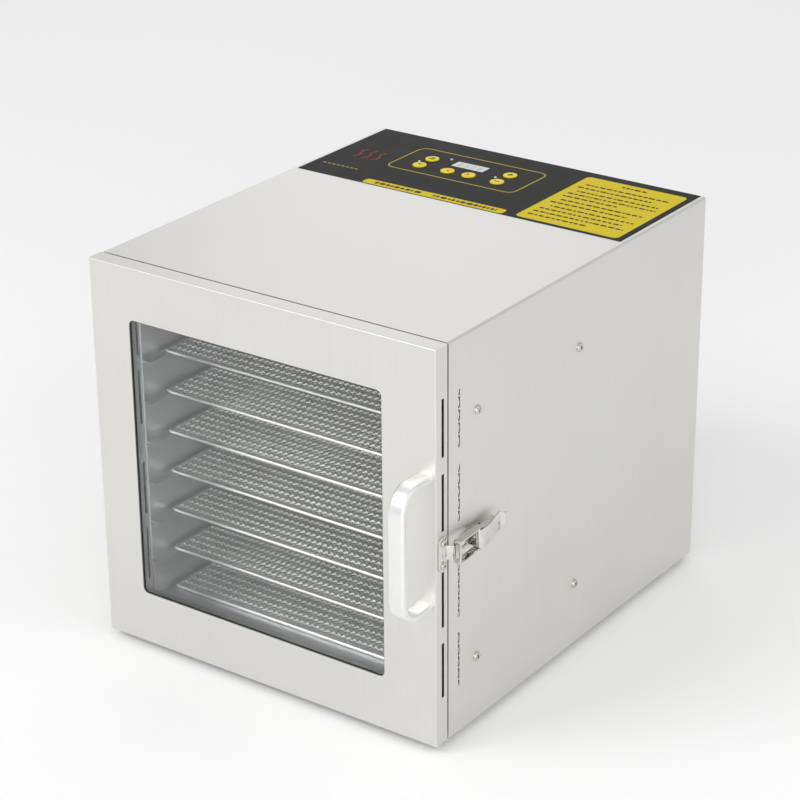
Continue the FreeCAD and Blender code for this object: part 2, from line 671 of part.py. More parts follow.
def boards():
    plate = box(
        "control_plate", ("-112", "38"), (f"{FRONT} + 304", f"{FRONT} + 358"),
        (f"{BOARD_TOP} - board_thick", BOARD_TOP),
    )
    pieces = [plate]
    for name, (x, y) in BUTTONS.items():
        middle = f"{FRONT} + {y}"
        pieces.append(box(
            f"switch_{name}", (f"{x} - 3", f"{x} + 3"), (f"{middle} - 3", f"{middle} + 3"),
            (BOARD_TOP, f"{BOARD_TOP} + 4"),
        ))
    for i, x in enumerate((-108, 34)):
        for j, y in enumerate((308, 354)):
            post = rod(f"board_post_{i}_{j}", "z", "2", "board_drop", f"{x}", f"{FRONT} + {y}", BOARD_TOP)
            pieces.append(post)
    part("control_board", fuse("control_board", pieces))
    wall = f"{SIDE} - sheet_steel"
    y0 = f"{BAFFLE} + 10"
    z0 = "foot_height + 90"
    plate = box(
        "power_plate", (f"{wall} - 8 - board_thick", f"{wall} - 8"), (y0, f"{y0} + 60"),
        (z0, f"{z0} + 110"),
    )
    relay = box(
        "power_relay", (f"{wall} - 26", f"{wall} - 8"), (f"{y0} + 8", f"{y0} + 26"),
        (f"{z0} + 12", f"{z0} + 40"),
    )
    coil = box(
        "power_coil", (f"{wall} - 34", f"{wall} - 8"), (f"{y0} + 30", f"{y0} + 54"),
        (f"{z0} + 55", f"{z0} + 90"),
    )
    stubs = []
    for i, y in enumerate((5, 55)):
        for j, z in enumerate((6, 104)):
            at = (f"{wall} - 8", f"{y0} + {y}", f"{z0} + {z}")
            stubs.append(rod(f"power_post_{i}_{j}", "x", "2.5", "8", *at))
    return part("power_board", fuse("power_board", [plate, relay, coil] + stubs))


def control_panel():
    film = box(
        "panel_sheet", (f"-{SIDE} + panel_margin", f"{SIDE} - panel_margin"),
        (f"{FRONT} + panel_front", f"{BACK} - 1"), (TOP, f"{TOP} + panel_film"),
    )
    cutters = [display_block("panel_display", f"{TOP} - 3", f"{TOP} + 3")]
    for name, (x, y) in BUTTONS.items():
        at = (x, f"{FRONT} + {y}", f"{TOP} - 3")
        cutters.append(rod(f"panel_{name}", "z", "button_radius + button_play", "6", *at))
    part("panel_overlay", cut("panel_overlay", film, cutters))
    pane = display_block("display_window", f"{TOP} - sheet_steel - 2", f"{TOP} + panel_film")
    part("display_window", pane)
    switch_top = f"{BOARD_TOP} + 4"
    for name, (x, y) in BUTTONS.items():
        at = (f"{x}", f"{FRONT} + {y}")
        cap_low = f"{TOP} - sheet_steel"
        cap_tall = "sheet_steel + panel_film + button_proud"
        cap = rod(f"button_cap_{name}", "z", "button_radius", cap_tall, *at, cap_low)
        crown = rounded(
            f"button_crown_{name}", cap, "button_proud / 2",
            lambda edge: isinstance(edge.Curve, Part.Circle) and edge.CenterOfMass.z > size(TOP),
        )
        stem_low = f"{switch_top} + button_travel + 0.1"
        stem = rod(f"button_stem_{name}", "z", "2", f"{cap_low} - ({stem_low}) + 0.5", *at, stem_low)
        part(f"button_{name}", fuse(f"button_{name}", [crown, stem]))


# --------------------------------------------------------------------------- door

WINDOW_X = (
    "window_offset - window_width / 2",
    "window_offset + window_width / 2",
)
WINDOW_Z = (
    "foot_height + window_bottom",
    "foot_height + window_bottom + window_height",
)


def grown(span, by):
    return f"{span[0]} - ({by})", f"{span[1]} + ({by})"


def window_block(name, y, by, radius):
    block = box(name, grown(WINDOW_X, by), y, grown(WINDOW_Z, by))
    return rounded(name + "_round", block, radius, along("y"))


def handle_screw_places(y):
    x = f"{SIDE} - handle_inset"
    return [
        (x, y, "foot_height + handle_bottom + handle_lean + handle_bar / 2"),
        (x, y, "foot_height + handle_bottom + handle_length - handle_lean - handle_bar / 2"),
    ]


def strike_screw_places(x):
    y = f"{DOOR_FRONT} + strike_middle - 0.3"
    return [(x, y, f"{LATCH_Z} - 9.5"), (x, y, f"{LATCH_Z} + 9.5")]


PANE_FRONT = f"({DOOR_FRONT} + sheet_steel + gasket_thick)"
PANE_Y = (PANE_FRONT, f"({PANE_FRONT} + glass_thick)")


def door():
    block = box("pan_block", (f"-{SIDE}", SIDE), (DOOR_FRONT, DOOR_BACK), ("foot_height", TOP))
    edges = rounded(
        "pan_folds", block, "bend_radius / 2",
        lambda edge: abs(edge.CenterOfMass.y - size(DOOR_FRONT)) < 0.01,
    )
    inside = box(
        "pan_inside", inner_x(), (f"{DOOR_FRONT} + sheet_steel", f"{DOOR_BACK} + 1"),
        ("foot_height + sheet_steel", f"{TOP} - sheet_steel"),
    )
    opening_y = (f"{DOOR_FRONT} - 1", f"{DOOR_FRONT} + sheet_steel + 1")
    opening = window_block("pan_window", opening_y, "0", "window_corner")
    slot_y = f"({DOOR_FRONT} + door_slot_back)"
    cutters = [opening]
    for side, label in ((-1, "left"), (1, "right")):
        cutters += side_slots(f"pan_{label}", side, f"{SIDE} - 2 * sheet_steel", f"{SIDE} + 1", slot_y)
    for i, at in enumerate(hinge_screw_places(f"-{SIDE} - 3", DOOR_SCREW_Y)):
        cutters.append(rod(f"pan_hinge_{i}", "x", SHANK_HOLE, "6", *at))
    for i, at in enumerate(strike_screw_places(f"{SIDE} - 3")):
        cutters.append(rod(f"pan_strike_{i}", "x", SHANK_HOLE, "6", *at))
    for i, at in enumerate(handle_screw_places(f"{DOOR_FRONT} - 1")):
        cutters.append(rod(f"pan_handle_{i}", "y", SHANK_HOLE, "6", *at))
    pan = cut("pan_hollow", edges, [inside])
    part("door_outer", cut("door_outer", pan, cutters))

    part("door_glass", window_block("door_pane", PANE_Y, "glass_overlap", "window_corner"))
    gasket_y = (f"{DOOR_FRONT} + sheet_steel", PANE_Y[0])
    part("glass_gasket", cut(
        "glass_gasket",
        window_block("gasket_outside", gasket_y, "glass_overlap", "window_corner"),
        [window_block(
            "gasket_inside", grown(gasket_y, "1"), "-gasket_proud", "window_corner - gasket_proud")],
    ))

    # The inner pan closes the door's back, and its folded rim holds the pane against the gasket.
    back_sheet = box(
        "inner_sheet", inner_x(), (f"{DOOR_BACK} - sheet_steel", DOOR_BACK),
        ("foot_height + sheet_steel", f"{TOP} - sheet_steel"),
    )
    rim = window_block("inner_rim", (PANE_Y[1], DOOR_BACK), "glass_overlap / 2", "window_corner")
    hollow_y = (f"{PANE_Y[1]} - 1", f"{DOOR_BACK} + 1")
    hollow = window_block("inner_hollow", hollow_y, "glass_overlap / 2 - sheet_steel", "window_corner")
    part("door_inner", cut("door_inner", fuse("inner_whole", [back_sheet, rim]), [hollow]))

    seal_y = (DOOR_BACK, f"{DOOR_BACK} + seal_thick")
    seal_x = (f"-({CHAMBER_SIDE} + seal_width)", f"{CHAMBER_SIDE} + seal_width")
    ring = box("seal_outside", seal_x, seal_y, (f"{FLOOR} - seal_width", f"{CEILING} + seal_width"))
    gap = box("seal_inside", (f"-({CHAMBER_SIDE})", CHAMBER_SIDE), grown(seal_y, "1"), (FLOOR, CEILING))
    return part("door_seal", cut("door_seal", ring, [gap]))


def handle_block(name, x, y, z, inward):
    """A block whose top and bottom lean inward towards the door."""
    item = doc.addObject("Part::Wedge", name)
    door_z = (f"{z[0]} + {inward}", f"{z[1]} - {inward}")
    for letter, (low, high) in (("X", x), ("X2", x), ("Y", y), ("Z", z), ("Z2", door_z)):
        bind(item, letter + "min", low)
        bind(item, letter + "max", high)
    return item


def handle():
    """A flat bar bent into a C. Its legs lean in towards each other and end on the door."""
    x = (f"{SIDE} - handle_inset - handle_width / 2", f"{SIDE} - handle_inset + handle_width / 2")
    y = (f"{DOOR_FRONT} - handle_reach", DOOR_FRONT)
    z = ("foot_height + handle_bottom", "foot_height + handle_bottom + handle_length")
    slope = "(handle_lean / handle_reach)"
    space_z = (
        f"{z[0]} + handle_bar + handle_bar * {slope}", f"{z[1]} - handle_bar - handle_bar * {slope}")

    def at_grip(edge):
        return along("x")(edge) and edge.CenterOfMass.y < size(DOOR_FRONT) - 5

    block = handle_block("handle_block", x, y, z, "handle_lean")
    outside = rounded("handle_outside", block, "handle_bend", at_grip)
    space_y = (f"{y[0]} + handle_bar", y[1])
    space_lean = f"(handle_reach - handle_bar) * {slope}"
    space = handle_block("handle_space", grown(x, "1"), space_y, space_z, space_lean)
    inside = rounded("handle_inside", space, "handle_bend - handle_bar", at_grip)
    bar = cut("handle_bent_bar", outside, [inside])
    holes = handle_screw_places(f"{DOOR_FRONT} + sheet_steel - handle_screw")
    part("handle", drilled("handle", bar, "y", "screw_shank", "handle_screw", holes))
    seats = handle_screw_places(f"{DOOR_FRONT} + sheet_steel")
    return screws("handle_screws", "y", -1, "handle_screw", seats)


# --------------------------------------------------------------------------- hinges

DOOR_SCREW_Y = f"({HINGE_Y} - door_leaf_reach + 5)"


def hinges():
    """Two barrel hinges on the left side: a fixed leaf, a door leaf and a pin each."""
    fixed, moving, pins = [], [], []
    third = "hinge_height / 3"
    for label in ("hinge_low", "hinge_high"):
        low = f"(foot_height + {label} - hinge_height / 2)"
        leaf_x = (f"-{SIDE} - hinge_leaf", f"-{SIDE}")
        spans = {
            "bottom": (low, f"{low} + {third} - knuckle_gap"),
            "middle": (f"{low} + {third}", f"{low} + 2 * {third}"),
            "upper": (f"{low} + 2 * {third} + knuckle_gap", f"{low} + hinge_height"),
        }
        plate = box(
            f"{label}_fixed_leaf", leaf_x, (f"{HINGE_Y} + hinge_radius + 0.6", f"{HINGE_Y} + hinge_reach"),
            (low, f"{low} + hinge_height"),
        )
        pieces = [plate]
        for key in ("bottom", "upper"):
            start, end = spans[key]
            at = (HINGE_X, HINGE_Y, start)
            pieces.append(rod(f"{label}_{key}", "z", "hinge_radius", f"({end}) - ({start})", *at))
            arm_y = (HINGE_Y, f"{HINGE_Y} + hinge_radius + 1")
            pieces.append(box(f"{label}_{key}_arm", leaf_x, arm_y, (start, end)))
        body = fuse(f"{label}_fixed_body", pieces)
        bore = [(HINGE_X, HINGE_Y, f"{low} - 1")]
        pinned = drilled(f"{label}_fixed_bore", body, "z", "hinge_pin", "hinge_height + 2", bore)
        holes = [at for at in hinge_screw_places(f"-{SIDE} - 3", FIXED_SCREW_Y) if label in at[2]]
        fixed.append(drilled(f"{label}_fixed", pinned, "x", SHANK_HOLE, "6", holes))

        start, end = spans["middle"]
        plate = box(
            f"{label}_door_leaf", leaf_x,
            (f"{HINGE_Y} - door_leaf_reach", f"{HINGE_Y} - hinge_radius - 0.6"),
            (low, f"{low} + hinge_height"),
        )
        at = (HINGE_X, HINGE_Y, start)
        knuckle = rod(f"{label}_knuckle", "z", "hinge_radius", f"({end}) - ({start})", *at)
        arm = box(f"{label}_door_arm", leaf_x, (f"{HINGE_Y} - hinge_radius - 1", HINGE_Y), (start, end))
        body = fuse(f"{label}_door_body", [plate, knuckle, arm])
        bored = drilled(f"{label}_door_bore", body, "z", "hinge_pin + hinge_play", "hinge_height + 2", bore)
        holes = [at for at in hinge_screw_places(f"-{SIDE} - 3", DOOR_SCREW_Y) if label in at[2]]
        moving.append(drilled(f"{label}_door", bored, "x", SHANK_HOLE, "6", holes))
        pins.append(rod(f"{label}_pin", "z", "hinge_pin", "hinge_height", HINGE_X, HINGE_Y, low))
    part("hinge_leaves_fixed", group("hinge_leaves_fixed", fixed))
    part("hinge_leaves_door", group("hinge_leaves_door", moving))
    part("hinge_pins", group("hinge_pins", pins))
    seat = f"-{SIDE} - hinge_leaf"
    screws("hinge_screws_fixed", "x", 1, "7", hinge_screw_places(seat, FIXED_SCREW_Y), "3")
    return screws("hinge_screws_door", "x", 1, "7", hinge_screw_places(seat, DOOR_SCREW_Y), "3")


# --------------------------------------------------------------------------- toggle latch

WEB_HALF = "(latch_ear + 0.3 + latch_sheet)"


def profile(points):
    """A closed outline of (x, y) points as a face at z = 0."""
    return Part.Face(Part.makePolygon([Vector(x, y, 0) for x, y in points + points[:1]]))


def slab(name, points, low, high):
    """A flat piece cut from sheet: an outline in the XY plane, from height low to high."""
    item = doc.addObject("Part::Feature", name)
    face = profile(points)
    item.Shape = face.extrude(Vector(0, 0, size(f"{high} - ({low})")))
    return place(item, LATCH_X, LATCH_Y, f"{LATCH_Z} + {low}")


def latch():
    out, pin, thick = size("latch_pivot_out"), size("latch_pin"), size("latch_sheet")
    foot = -out
    base_sheet = slab(
        "latch_foot", [(foot, -11), (foot + thick, -11), (foot + thick, 13), (foot, 13)],
        "-latch_ear", "latch_ear",
    )
    lug = [
        (foot, -0.8), (-2.4, -1.2), (-1.2, -2.4), (1.2, -2.4), (2.6, -0.8), (2.6, 0.8), (1.4, 2.3), (0, 2.7),
        (-3.4, 3.2), (foot, 5),
    ]
    ears = [
        slab(f"latch_ear_{i}", lug, low, high)
        for i, (low, high) in enumerate((
            ("-latch_ear", "-latch_ear + latch_sheet"), ("latch_ear - latch_sheet", "latch_ear")))
    ]
    body = fuse("latch_base_body", [base_sheet] + ears)
    pin_start = [(LATCH_X, LATCH_Y, f"{LATCH_Z} - {WEB_HALF} - 1")]
    bored = drilled("latch_base_bore", body, "z", "latch_pin", f"2 * {WEB_HALF} + 2", pin_start)
    rivet_holes = [(f"{x} - 3", y, z) for x, y, z in LATCH_RIVETS]
    part("latch_base", drilled("latch_base", bored, "x", SHANK_HOLE, "8", rivet_holes))
    seat = f"{SIDE} + latch_sheet"
    rivets = [
        fuse(f"latch_rivet_{i}", [
            rod(f"latch_rivet_shank_{i}", "x", "screw_shank", "6 + latch_sheet", f"{SIDE} - 6", y, z),
            rod(f"latch_rivet_head_{i}", "x", "3", "1", seat, y, z),
        ]) for i, (_, y, z) in enumerate(LATCH_RIVETS)
    ]
    part("latch_rivets", group("latch_rivets", rivets))
    part("latch_pivot_pin", rod(
        "latch_pivot_pin", "z", "latch_pin", f"2 * {WEB_HALF}",
        LATCH_X, LATCH_Y, f"{LATCH_Z} - {WEB_HALF}"))

    # The lever: a plate that slopes to a curled tip behind the pivot, on two webs.
    link_x, link_y = size("link_out"), size("link_back")
    plate = [
        (3.0, -3.0), (3.0, 9.0), (-2.6, 33.0), (-1.6, 37.0), (0.6, 39.0), (1.4, 38.0), (-0.4, 36.2),
        (-1.2, 33.2),
        (4.2, 9.4), (4.2, -2.6),
    ]
    webs = [(-2.6, -1.6), (-1.2, -3.0), (3.6, -3.0), (3.6, 9.2), (link_x + 1.0, link_y + 8.0),
            (link_x - 2.4, link_y + 3.0), (link_x - 2.4, link_y - 1.0)]
    pieces = [slab("lever_plate", plate, f"-{WEB_HALF}", WEB_HALF)]
    for i, (low, high) in enumerate((
            (f"-{WEB_HALF}", f"-{WEB_HALF} + latch_sheet"), (f"{WEB_HALF} - latch_sheet", WEB_HALF))):
        pieces.append(slab(f"lever_web_{i}", webs, low, high))
    body = fuse("lever_body", pieces)
    length = f"2 * {WEB_HALF} + 2"
    pivoted = drilled("lever_pivot", body, "z", "latch_pin + latch_play", length, pin_start)
    link_start = [(LINK_X, LINK_Y, f"{LATCH_Z} - {WEB_HALF} - 1")]
    part("latch_lever", drilled("latch_lever", pivoted, "z", "bail_wire + latch_play", length, link_start))

    # The bail: a closed wire loop through the lever's webs.
    link_z = size("bail_half")
    front_x, front_y = size("bail_out - latch_pivot_out"), link_y - size("bail_reach")
    corners = [
        Vector(link_x, link_y, -link_z), Vector(front_x, front_y, -link_z),
        Vector(front_x, front_y, link_z), Vector(link_x, link_y, link_z),
    ]
    wires = []
    for start, end in zip(corners, corners[1:] + corners[:1]):
        run = end - start
        wires.append(Part.makeCylinder(size("bail_wire"), run.Length, start, run))
    balls = [Part.makeSphere(size("bail_wire"), corner) for corner in corners]
    loop = doc.addObject("Part::Feature", "latch_bail")
    loop.Shape = wires[0].multiFuse(wires[1:] + balls).removeSplitter()
    place(loop, LATCH_X, LATCH_Y, LATCH_Z)
    return part("latch_bail", loop)


def strike():
    """A long plate on the door's edge with a lip that stands out towards the cabinet."""
    middle = f"({DOOR_FRONT} + strike_middle)"
    plate = rounded(
        "strike_round",
        box("strike_block", (SIDE, f"{SIDE} + latch_sheet"),
            (f"{middle} - strike_wide / 2", f"{middle} + strike_wide / 2"),
            (f"{LATCH_Z} - strike_tall / 2", f"{LATCH_Z} + strike_tall / 2")),
        "strike_wide / 2 - 0.2", along("x"),
    )
    lip_out, thick = size("strike_lip"), size("latch_sheet")
    lip = doc.addObject("Part::Feature", "strike_lip")
    hook = profile([
        (0, -0.6), (thick, -1.2), (lip_out, 4.4), (lip_out, 5.6), (lip_out - 1.2, 5.6), (0, 1.0),
    ])
    lip.Shape = hook.extrude(Vector(0, 0, 12))
    place(lip, SIDE, middle, f"{LATCH_Z} - 6")
    whole = fuse("strike_whole", [plate, lip])
    holes = strike_screw_places(f"{SIDE} - 3")
    part("latch_strike", drilled("latch_strike", whole, "x", SHANK_HOLE, "8", holes))
    return screws("strike_screws", "x", -1, "7", strike_screw_places(f"{SIDE} + latch_sheet"), head="3")


# --------------------------------------------------------------------------- build

casing()
base()
back()
front_frame()
liner()
baffle()
racks()
posts()
vent_meshes()
trays()
fan()
heater()
boards()
control_panel()
door()
handle()
hinges()
latch()
strike()
doc.recompute()

for item in doc.Objects:
    if "Invalid" in item.State or "Error" in item.State:
        raise RuntimeError(f"{item.Name} failed: {item.State}")
for item in nodes:
    if item.Shape.isNull() or not item.Shape.isValid() or item.Shape.Volume < 1:
        raise RuntimeError(f"{item.Label} has no valid solid")
labels = [item.Label for item in nodes]
if len(set(labels)) != len(labels):
    raise RuntimeError("two pieces share a label")
os.makedirs("parts", exist_ok=True)
for item in nodes:
    item.Shape.exportStep(f"parts/{item.Label}.step")
    solids = len(item.Shape.Solids)
    print(f"{item.Label}: {solids} solid(s), {item.Shape.Volume / 1000:.2f} cm3")
print(len(nodes), "pieces")
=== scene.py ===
# %% [markdown]
# # A sheet-steel food dehydrator
# The machine is a box folded from thin stainless steel. A glazed door closes a chamber with eight woven
# wire trays, a fan blows warm air through them from behind, and a printed film on the top carries the
# buttons. The frame gives every part its place and its motion. This lesson gives the parts their looks: it
# keeps the sheet-metal parts as they are, with a finish made from nodes, and models the wires, the screws
# that show, the latch, the handle and the prints again, because a plain solid would show there.

# %% Load the frame
import json
import math
import random

import bpy
from mathutils import Matrix, Quaternion, Vector

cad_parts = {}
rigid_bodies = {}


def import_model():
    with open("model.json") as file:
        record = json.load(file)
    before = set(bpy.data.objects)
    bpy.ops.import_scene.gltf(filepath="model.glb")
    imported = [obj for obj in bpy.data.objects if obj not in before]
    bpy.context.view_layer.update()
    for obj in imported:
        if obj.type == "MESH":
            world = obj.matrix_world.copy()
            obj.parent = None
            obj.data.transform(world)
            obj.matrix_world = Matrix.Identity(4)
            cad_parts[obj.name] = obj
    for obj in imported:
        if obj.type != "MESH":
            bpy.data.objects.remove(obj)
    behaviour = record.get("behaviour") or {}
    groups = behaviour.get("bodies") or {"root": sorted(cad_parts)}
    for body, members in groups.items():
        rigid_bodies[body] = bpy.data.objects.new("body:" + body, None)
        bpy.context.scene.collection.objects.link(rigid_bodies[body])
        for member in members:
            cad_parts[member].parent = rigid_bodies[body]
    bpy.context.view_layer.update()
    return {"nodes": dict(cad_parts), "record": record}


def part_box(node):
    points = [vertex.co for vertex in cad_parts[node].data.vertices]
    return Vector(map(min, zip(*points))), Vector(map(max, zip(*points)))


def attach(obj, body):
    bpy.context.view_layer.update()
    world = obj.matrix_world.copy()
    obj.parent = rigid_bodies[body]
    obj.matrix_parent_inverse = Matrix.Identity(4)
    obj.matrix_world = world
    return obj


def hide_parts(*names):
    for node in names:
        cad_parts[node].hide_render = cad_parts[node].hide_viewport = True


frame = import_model()
MM = 0.001

# %% [markdown]
# ## Camera
# The camera looks down at the front and the right side from two metres away through a long lens, so that
# the edges stay nearly parallel. It could be aimed with a constraint, but its angles are known, so its
# rotation is worked out from them: first the way back from the object to the camera, then a slight roll
# about that line.

# %% Place the camera
AZIMUTH, ELEVATION, ROLL = math.radians(35.60), math.radians(24.13), math.radians(-0.48)
AIM = Vector((4.2, 0.0, 193.0)) * MM
DISTANCE = 2.0942
LENS = 113.1

towards_camera = Vector((
    math.sin(AZIMUTH) * math.cos(ELEVATION), -math.cos(AZIMUTH) * math.cos(ELEVATION), math.sin(ELEVATION)))
camera_data = bpy.data.cameras.new("camera")
camera_data.sensor_width = 36.0
camera_data.lens = LENS
camera_data.clip_start, camera_data.clip_end = 0.05, 50.0
camera = bpy.data.objects.new("camera", camera_data)
bpy.context.scene.collection.objects.link(camera)
bpy.context.scene.camera = camera
camera.rotation_mode = "QUATERNION"
camera.location = AIM + towards_camera * DISTANCE
camera.rotation_quaternion = Quaternion(towards_camera, ROLL) @ (-towards_camera).to_track_quat("-Z", "Y")
print("camera at", [round(c, 3) for c in camera.location])

# %% [markdown]
# ## Materials from nodes
# Each finish is a small node tree. Two helpers are enough for all of them: one turns the hex colours that
# people write down into the linear numbers that light is added up in, and one adds a node with its settings
# and links. A value that is the same all over goes straight onto the shader's own socket.

# %% Colour and node helpers
def linear(hex_colour):
    """An sRGB colour such as "#D9C60A" as linear red, green and blue, with a full alpha."""
    channels = [int(hex_colour[i:i + 2], 16) / 255 for i in (1, 3, 5)]
    return tuple(c / 12.92 if c <= 0.04045 else ((c + 0.055) / 1.055) ** 2.4 for c in channels) + (1.0,)


def add(tree, kind, inputs=None, **settings):
    """Adds one node. inputs maps an input's name or number to a value, or to the output that feeds it."""
    node = tree.nodes.new(kind)
    for name, value in settings.items():
        setattr(node, name, value)
    for name, value in (inputs or {}).items():
        if isinstance(value, bpy.types.NodeSocket):
            tree.links.new(value, node.inputs[name])
        else:
            node.inputs[name].default_value = value
    return node


def surface(name, inputs):
    """A new material with one Principled shader. Returns the material, its tree and the shader."""
    made = bpy.data.materials.new(name)
    made.use_nodes = True
    tree = made.node_tree
    tree.nodes.clear()
    shader = add(tree, "ShaderNodeBsdfPrincipled", inputs)
    add(tree, "ShaderNodeOutputMaterial", {"Surface": shader.outputs["BSDF"]})
    return made, tree, shader


def spread(tree, fac, low, high):
    """Maps a pattern that runs from 0 to 1 onto values from low to high."""
    return add(tree, "ShaderNodeMapRange", {"Value": fac, "To Min": low, "To Max": high}).outputs["Result"]


def tinted(tree, fac, shade, colour):
    """A colour that runs from shade to colour as a pattern runs from 0 to 1."""
    ends = {"Factor": fac, 6: linear(shade), 7: linear(colour)}
    return add(tree, "ShaderNodeMix", ends, data_type="RGBA").outputs["Result"]


# %% [markdown]
# ## Rolled stainless steel
# The casing is cold-rolled stainless sheet with a fine satin grain from a polishing belt. A belt leaves
# scratches a tenth of a millimetre wide and some centimetres long, which scatter light mostly across
# themselves. Noise stretched along the grain gives them: it is drawn about a millimetre wide, coarser than
# the real grain, because a finer one would not show from here. On upright faces the grain runs up and down,
# and on flat ones from front to back, so the face's own direction picks one of two stretched noises. Broad
# soft patches, where the sheet was handled, make the reflections waver a little.

# %% Satin stainless sheet
GRAIN_WIDTH = 0.9 * MM
GRAIN_LENGTH = 70 * MM
HANDLED_PATCH = 90 * MM
HANDLED_SHARE = 0.45  # how much of the pattern is handling, the rest is grain
UPRIGHT_BELOW = 0.7  # a face whose normal rises less than this counts as upright


def grain(tree, along):
    """Noise stretched along one axis (0, 1 or 2) of the object, as a belt leaves it."""
    place = add(tree, "ShaderNodeTexCoord").outputs["Object"]
    scale = [1 / GRAIN_WIDTH] * 3
    scale[along] = 1 / GRAIN_LENGTH
    squeezed = add(tree, "ShaderNodeMapping", {"Vector": place, "Scale": scale}).outputs["Vector"]
    return add(tree, "ShaderNodeTexNoise", {"Vector": squeezed, "Scale": 1.0, "Detail": 3.0}).outputs["Fac"]


def belt_grain(tree):
    """Grain that runs up and down on upright faces and from front to back on flat ones."""
    normal = add(tree, "ShaderNodeNewGeometry").outputs["Normal"]
    rise = add(tree, "ShaderNodeSeparateXYZ", {"Vector": normal}).outputs["Z"]
    steep = add(tree, "ShaderNodeMath", {0: rise}, operation="ABSOLUTE").outputs["Value"]
    flat = add(tree, "ShaderNodeMath", {0: steep, 1: UPRIGHT_BELOW}, operation="GREATER_THAN").outputs[0]
    return add(tree, "ShaderNodeMix", {"Factor": flat, 2: grain(tree, 2), 3: grain(tree, 1)}).outputs[0]


def patches(tree, size):
    """Broad soft patches of about that size."""
    place = add(tree, "ShaderNodeTexCoord").outputs["Object"]
    return add(tree, "ShaderNodeTexNoise", {"Vector": place, "Scale": 1 / size, "Detail": 2.0}).outputs["Fac"]


def rolled_steel(name, colour, shade, roughness, swing, bump):
    """Stainless sheet: shade is its darker tint, swing how much the roughness varies along the grain."""
    made, tree, shader = surface(name, {"Metallic": 1.0})
    lines = belt_grain(tree)
    handled = patches(tree, HANDLED_PATCH)
    both = add(tree, "ShaderNodeMix", {"Factor": HANDLED_SHARE, 2: lines, 3: handled}).outputs[0]
    tree.links.new(tinted(tree, both, shade, colour), shader.inputs["Base Color"])
    tree.links.new(spread(tree, both, roughness - swing, roughness + swing), shader.inputs["Roughness"])
    raised = add(tree, "ShaderNodeBump", {"Height": lines, "Strength": bump, "Distance": 0.05 * MM})
    tree.links.new(raised.outputs["Normal"], shader.inputs["Normal"])
    return made


satin_stainless = rolled_steel("satin_rolled_stainless", "#E6E5E1", "#D6D5D0", 0.42, 0.10, 0.35)
mill_stainless = rolled_steel("mill_finish_stainless", "#EDEEF0", "#DFE1E4", 0.38, 0.07, 0.15)
print("made", satin_stainless.name, "and", mill_stainless.name)

# %% [markdown]
# ## Wire, screws and latch
# Drawn wire comes out of its die bright, with fine lines along it that are too small to see on a wire one
# or two millimetres thick, so its tint and gloss only vary from patch to patch. Nickel-plated screws are
# bright and slightly warm. The latch is pressed from stainless strip and tumbled: shiny, with small dents
# that blur what it reflects.

# %% Bright steels
def bright_steel(name, colour, shade, roughness, patch, dent):
    """A polished or plated steel whose tint and roughness waver over patches, with shallow dents."""
    made, tree, shader = surface(name, {"Metallic": 1.0})
    waver = patches(tree, patch)
    tree.links.new(tinted(tree, waver, shade, colour), shader.inputs["Base Color"])
    tree.links.new(spread(tree, waver, roughness * 0.7, roughness * 1.3), shader.inputs["Roughness"])
    raised = add(tree, "ShaderNodeBump", {"Height": waver, "Strength": dent, "Distance": 0.1 * MM})
    tree.links.new(raised.outputs["Normal"], shader.inputs["Normal"])
    return made


drawn_wire = bright_steel("drawn_stainless_wire", "#FDFDFB", "#F3F3EF", 0.42, 9 * MM, 0.1)
nickel_plate = bright_steel("nickel_plated_steel", "#DAD8D2", "#BDBAB2", 0.22, 3 * MM, 0.3)
tumbled_stainless = bright_steel("tumbled_stainless_strip", "#E9E8E4", "#C6C5C0", 0.16, 4 * MM, 0.5)
print("made", drawn_wire.name, nickel_plate.name, tumbled_stainless.name)

# %% [markdown]
# ## Zinc, aluminium, paint and oxide
# Inside, the uprights and the motor bracket are galvanised: the zinc freezes into spangles about a
# centimetre across, each reflecting a little differently, which is what a Voronoi pattern is. The impeller
# is stamped aluminium and the handle is blasted and anodised, so both are pale and soft, with a grit of
# tenths of a millimetre. The motor is sprayed black, and the heater's sheath is browned by its own heat.

# %% Spangled zinc
SPANGLE = 9 * MM
galvanised, tree, shader = surface("galvanised_sheet", {"Metallic": 1.0})
place = add(tree, "ShaderNodeTexCoord").outputs["Object"]
crystals = add(tree, "ShaderNodeTexVoronoi", {"Vector": place, "Scale": 1 / SPANGLE}).outputs["Color"]
tone = add(tree, "ShaderNodeSeparateXYZ", {"Vector": crystals}).outputs["X"]
tree.links.new(tinted(tree, tone, "#9DA3A8", "#C3C8CB"), shader.inputs["Base Color"])
tree.links.new(spread(tree, tone, 0.3, 0.5), shader.inputs["Roughness"])
print("made", galvanised.name)


# %% Blasted, sprayed and oxidised surfaces
def grainy(name, colour, shade, grit, metallic, roughness, bump, gloss=None):
    """An even fine grain: blasted metal, paint, plastic or rubber. gloss holds the shader's other inputs."""
    made, tree, shader = surface(name, {"Metallic": metallic, **(gloss or {})})
    place = add(tree, "ShaderNodeTexCoord").outputs["Object"]
    fine = add(tree, "ShaderNodeTexNoise", {"Vector": place, "Scale": 1 / grit, "Detail": 4.0}).outputs["Fac"]
    broad = patches(tree, grit * 25)
    mixed = add(tree, "ShaderNodeMix", {"Factor": 0.5, 2: fine, 3: broad}).outputs[0]
    tree.links.new(tinted(tree, mixed, shade, colour), shader.inputs["Base Color"])
    tree.links.new(spread(tree, mixed, roughness * 0.85, roughness * 1.15), shader.inputs["Roughness"])
    raised = add(tree, "ShaderNodeBump", {"Height": fine, "Strength": bump, "Distance": grit * 0.1})
    tree.links.new(raised.outputs["Normal"], shader.inputs["Normal"])
    return made


